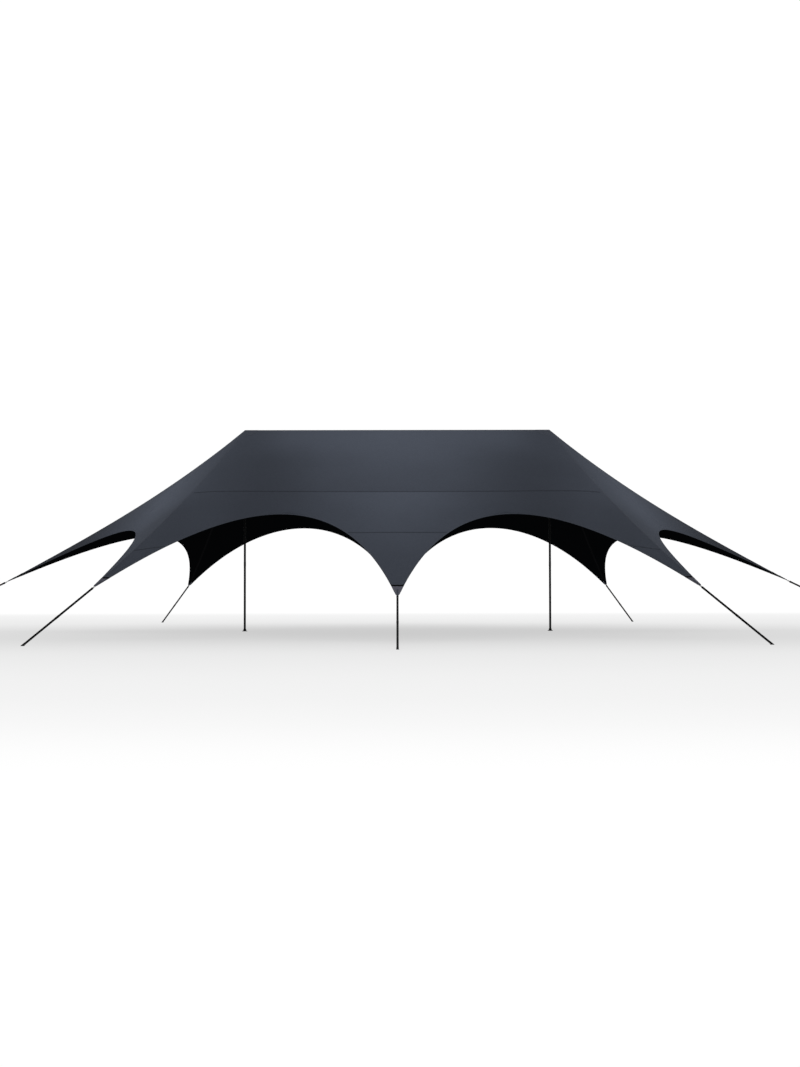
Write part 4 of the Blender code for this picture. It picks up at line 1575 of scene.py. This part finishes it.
class TENT_OT_stage(Operator):
    """Set up the pale floor, the soft light and the camera"""
    bl_idname = "tent.stage"
    bl_label = "Studio"

    def execute(self, context):
        stage = context.scene.tent_stage
        self.floor(stage)
        self.light(context, stage)
        self.camera(context, stage)
        context.scene.view_settings.view_transform = 'Standard'
        return {'FINISHED'}

    def floor(self, stage):
        """A wide floor that glows softly, less so in a pool of painted shadow under the tent."""
        bm = bmesh.new()
        bmesh.ops.create_grid(bm, x_segments=8, y_segments=8, size=stage.floor_half)
        mesh = mesh_of('floor', bm)
        made, tree, shader = start_material('Studio floor', Specular_IOR_Level=0.0, Roughness=0.9,
                                            Base_Color=tuple(stage.floor), Emission_Strength=stage.floor_glow)
        place = node(tree, 'ShaderNodeMapping', {
            'Vector': object_place(tree), 'Location': (0.0, -FLOOR_MIDDLE / FLOOR_REACH, 0.0),
            'Scale': (1 / FLOOR_STRETCH / FLOOR_REACH, 1 / FLOOR_REACH, 1.0)}).outputs[0]
        away = node(tree, 'ShaderNodeVectorMath', {0: place}, operation='LENGTH').outputs['Value']
        ramp = node(tree, 'ShaderNodeValToRGB', {0: away})
        ramp.color_ramp.interpolation = 'B_SPLINE'
        stops = ramp.color_ramp.elements
        while len(stops) < len(FLOOR_STOPS):
            stops.new(0.5)
        for stop, (distance, glow) in zip(stops, FLOOR_STOPS):
            stop.position = distance / FLOOR_REACH
            stop.color = (glow, glow, glow, 1.0)
        tree.links.new(ramp.outputs['Color'], shader.inputs['Emission Color'])
        mesh.materials.append(made)
        placed('floor', mesh)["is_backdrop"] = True

    def light(self, context, stage):
        """White behind, even light all round, and three softboxes."""
        world = bpy.data.worlds.new('Studio white')
        world.use_nodes = True
        tree = world.node_tree
        tree.nodes.clear()
        seen = node(tree, 'ShaderNodeLightPath').outputs['Is Camera Ray']
        strength = maths(tree, 'MULTIPLY_ADD', seen, WHITE_BEHIND - stage.sky, stage.sky)
        back = node(tree, 'ShaderNodeBackground', {'Color': (1.0, 1.0, 1.0, 1.0), 'Strength': strength})
        node(tree, 'ShaderNodeOutputWorld', {'Surface': back.outputs[0]})
        context.scene.world = world
        self.softbox('overhead', *OVERHEAD_BOX, stage.key_power)
        (x, y, z), (aim_x, aim_y, aim_z), size = SIDE_BOX
        for hand, sign in HANDS.items():
            self.softbox('side_' + hand, (x * sign, y, z), (aim_x * sign, aim_y, aim_z), size,
                         stage.side_power)

    def softbox(self, name, place, aim, size, power):
        """A rectangular lamp that isn't seen itself."""
        lamp = bpy.data.lights.new(name, 'AREA')
        lamp.shape = 'RECTANGLE'
        lamp.size, lamp.size_y = size
        lamp.energy = power
        holder = placed(name, lamp)
        holder.location = place
        holder.rotation_euler = (Vector(aim) - Vector(place)).to_track_quat('-Z', 'Y').to_euler()
        holder.visible_camera = holder.visible_glossy = False

    def camera(self, context, stage):
        """The viewpoint and the way the photograph looks, found from the poles and tips in it."""
        yaw, pitch, roll = (math.radians(a) for a in CAMERA_TURN)
        ahead = Vector((math.sin(yaw) * math.cos(pitch), math.cos(yaw) * math.cos(pitch), math.sin(pitch)))
        right = Vector((math.cos(yaw), -math.sin(yaw), 0.0))
        up = right.cross(ahead)
        turned_right = right * math.cos(roll) + up * math.sin(roll)
        right, up = turned_right, up * math.cos(roll) - right * math.sin(roll)
        lens = bpy.data.cameras.new('camera')
        lens.lens = stage.lens
        lens.sensor_width = 36.0
        lens.sensor_fit = 'AUTO'
        lens.clip_end = 1000.0
        camera = placed('camera', lens)
        turn = Matrix((right, up, -ahead)).transposed().to_4x4()
        camera.matrix_world = Matrix.Translation(CAMERA_AT) @ turn
        context.scene.camera = camera


STEPS = (TENT_OT_canopy, TENT_OT_hems, TENT_OT_seams, TENT_OT_belts, TENT_OT_patches, TENT_OT_peaks,
         TENT_OT_rings, TENT_OT_centre_poles, TENT_OT_side_poles, TENT_OT_declare, TENT_OT_stage)
SETTINGS = {'tent_cloth': TentCloth, 'tent_trim': TentTrim, 'tent_metal': TentMetal,
            'tent_stage': TentStage}


class TENT_PT_pieces(Panel):
    """The tent's settings and the steps that make it"""
    bl_label = "Canopy tent"
    bl_idname = "TENT_PT_pieces"
    bl_space_type = 'VIEW_3D'
    bl_region_type = 'UI'
    bl_category = "Tent"

    def draw(self, context):
        for key, group in SETTINGS.items():
            box = self.layout.box()
            for name in group.__annotations__:
                box.prop(getattr(context.scene, key), name)
        for step in STEPS:
            self.layout.operator(step.bl_idname)


def register():
    for group in SETTINGS.values():
        bpy.utils.register_class(group)
    for step in STEPS + (TENT_PT_pieces,):
        bpy.utils.register_class(step)
    for key, group in SETTINGS.items():
        setattr(bpy.types.Scene, key, PointerProperty(type=group))


def unregister():
    for key in SETTINGS:
        delattr(bpy.types.Scene, key)
    for step in (TENT_PT_pieces,) + STEPS:
        bpy.utils.unregister_class(step)
    for group in SETTINGS.values():
        bpy.utils.unregister_class(group)


def main():
    register()
    for step in STEPS:
        getattr(bpy.ops.tent, step.bl_idname.split('.')[1])()
    boxes = {'cad': CAD_BOX, 'visual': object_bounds()}
    {key: [list(corner) for corner in box] for key, box in boxes.items()}


if __name__ == "__main__":
    main()
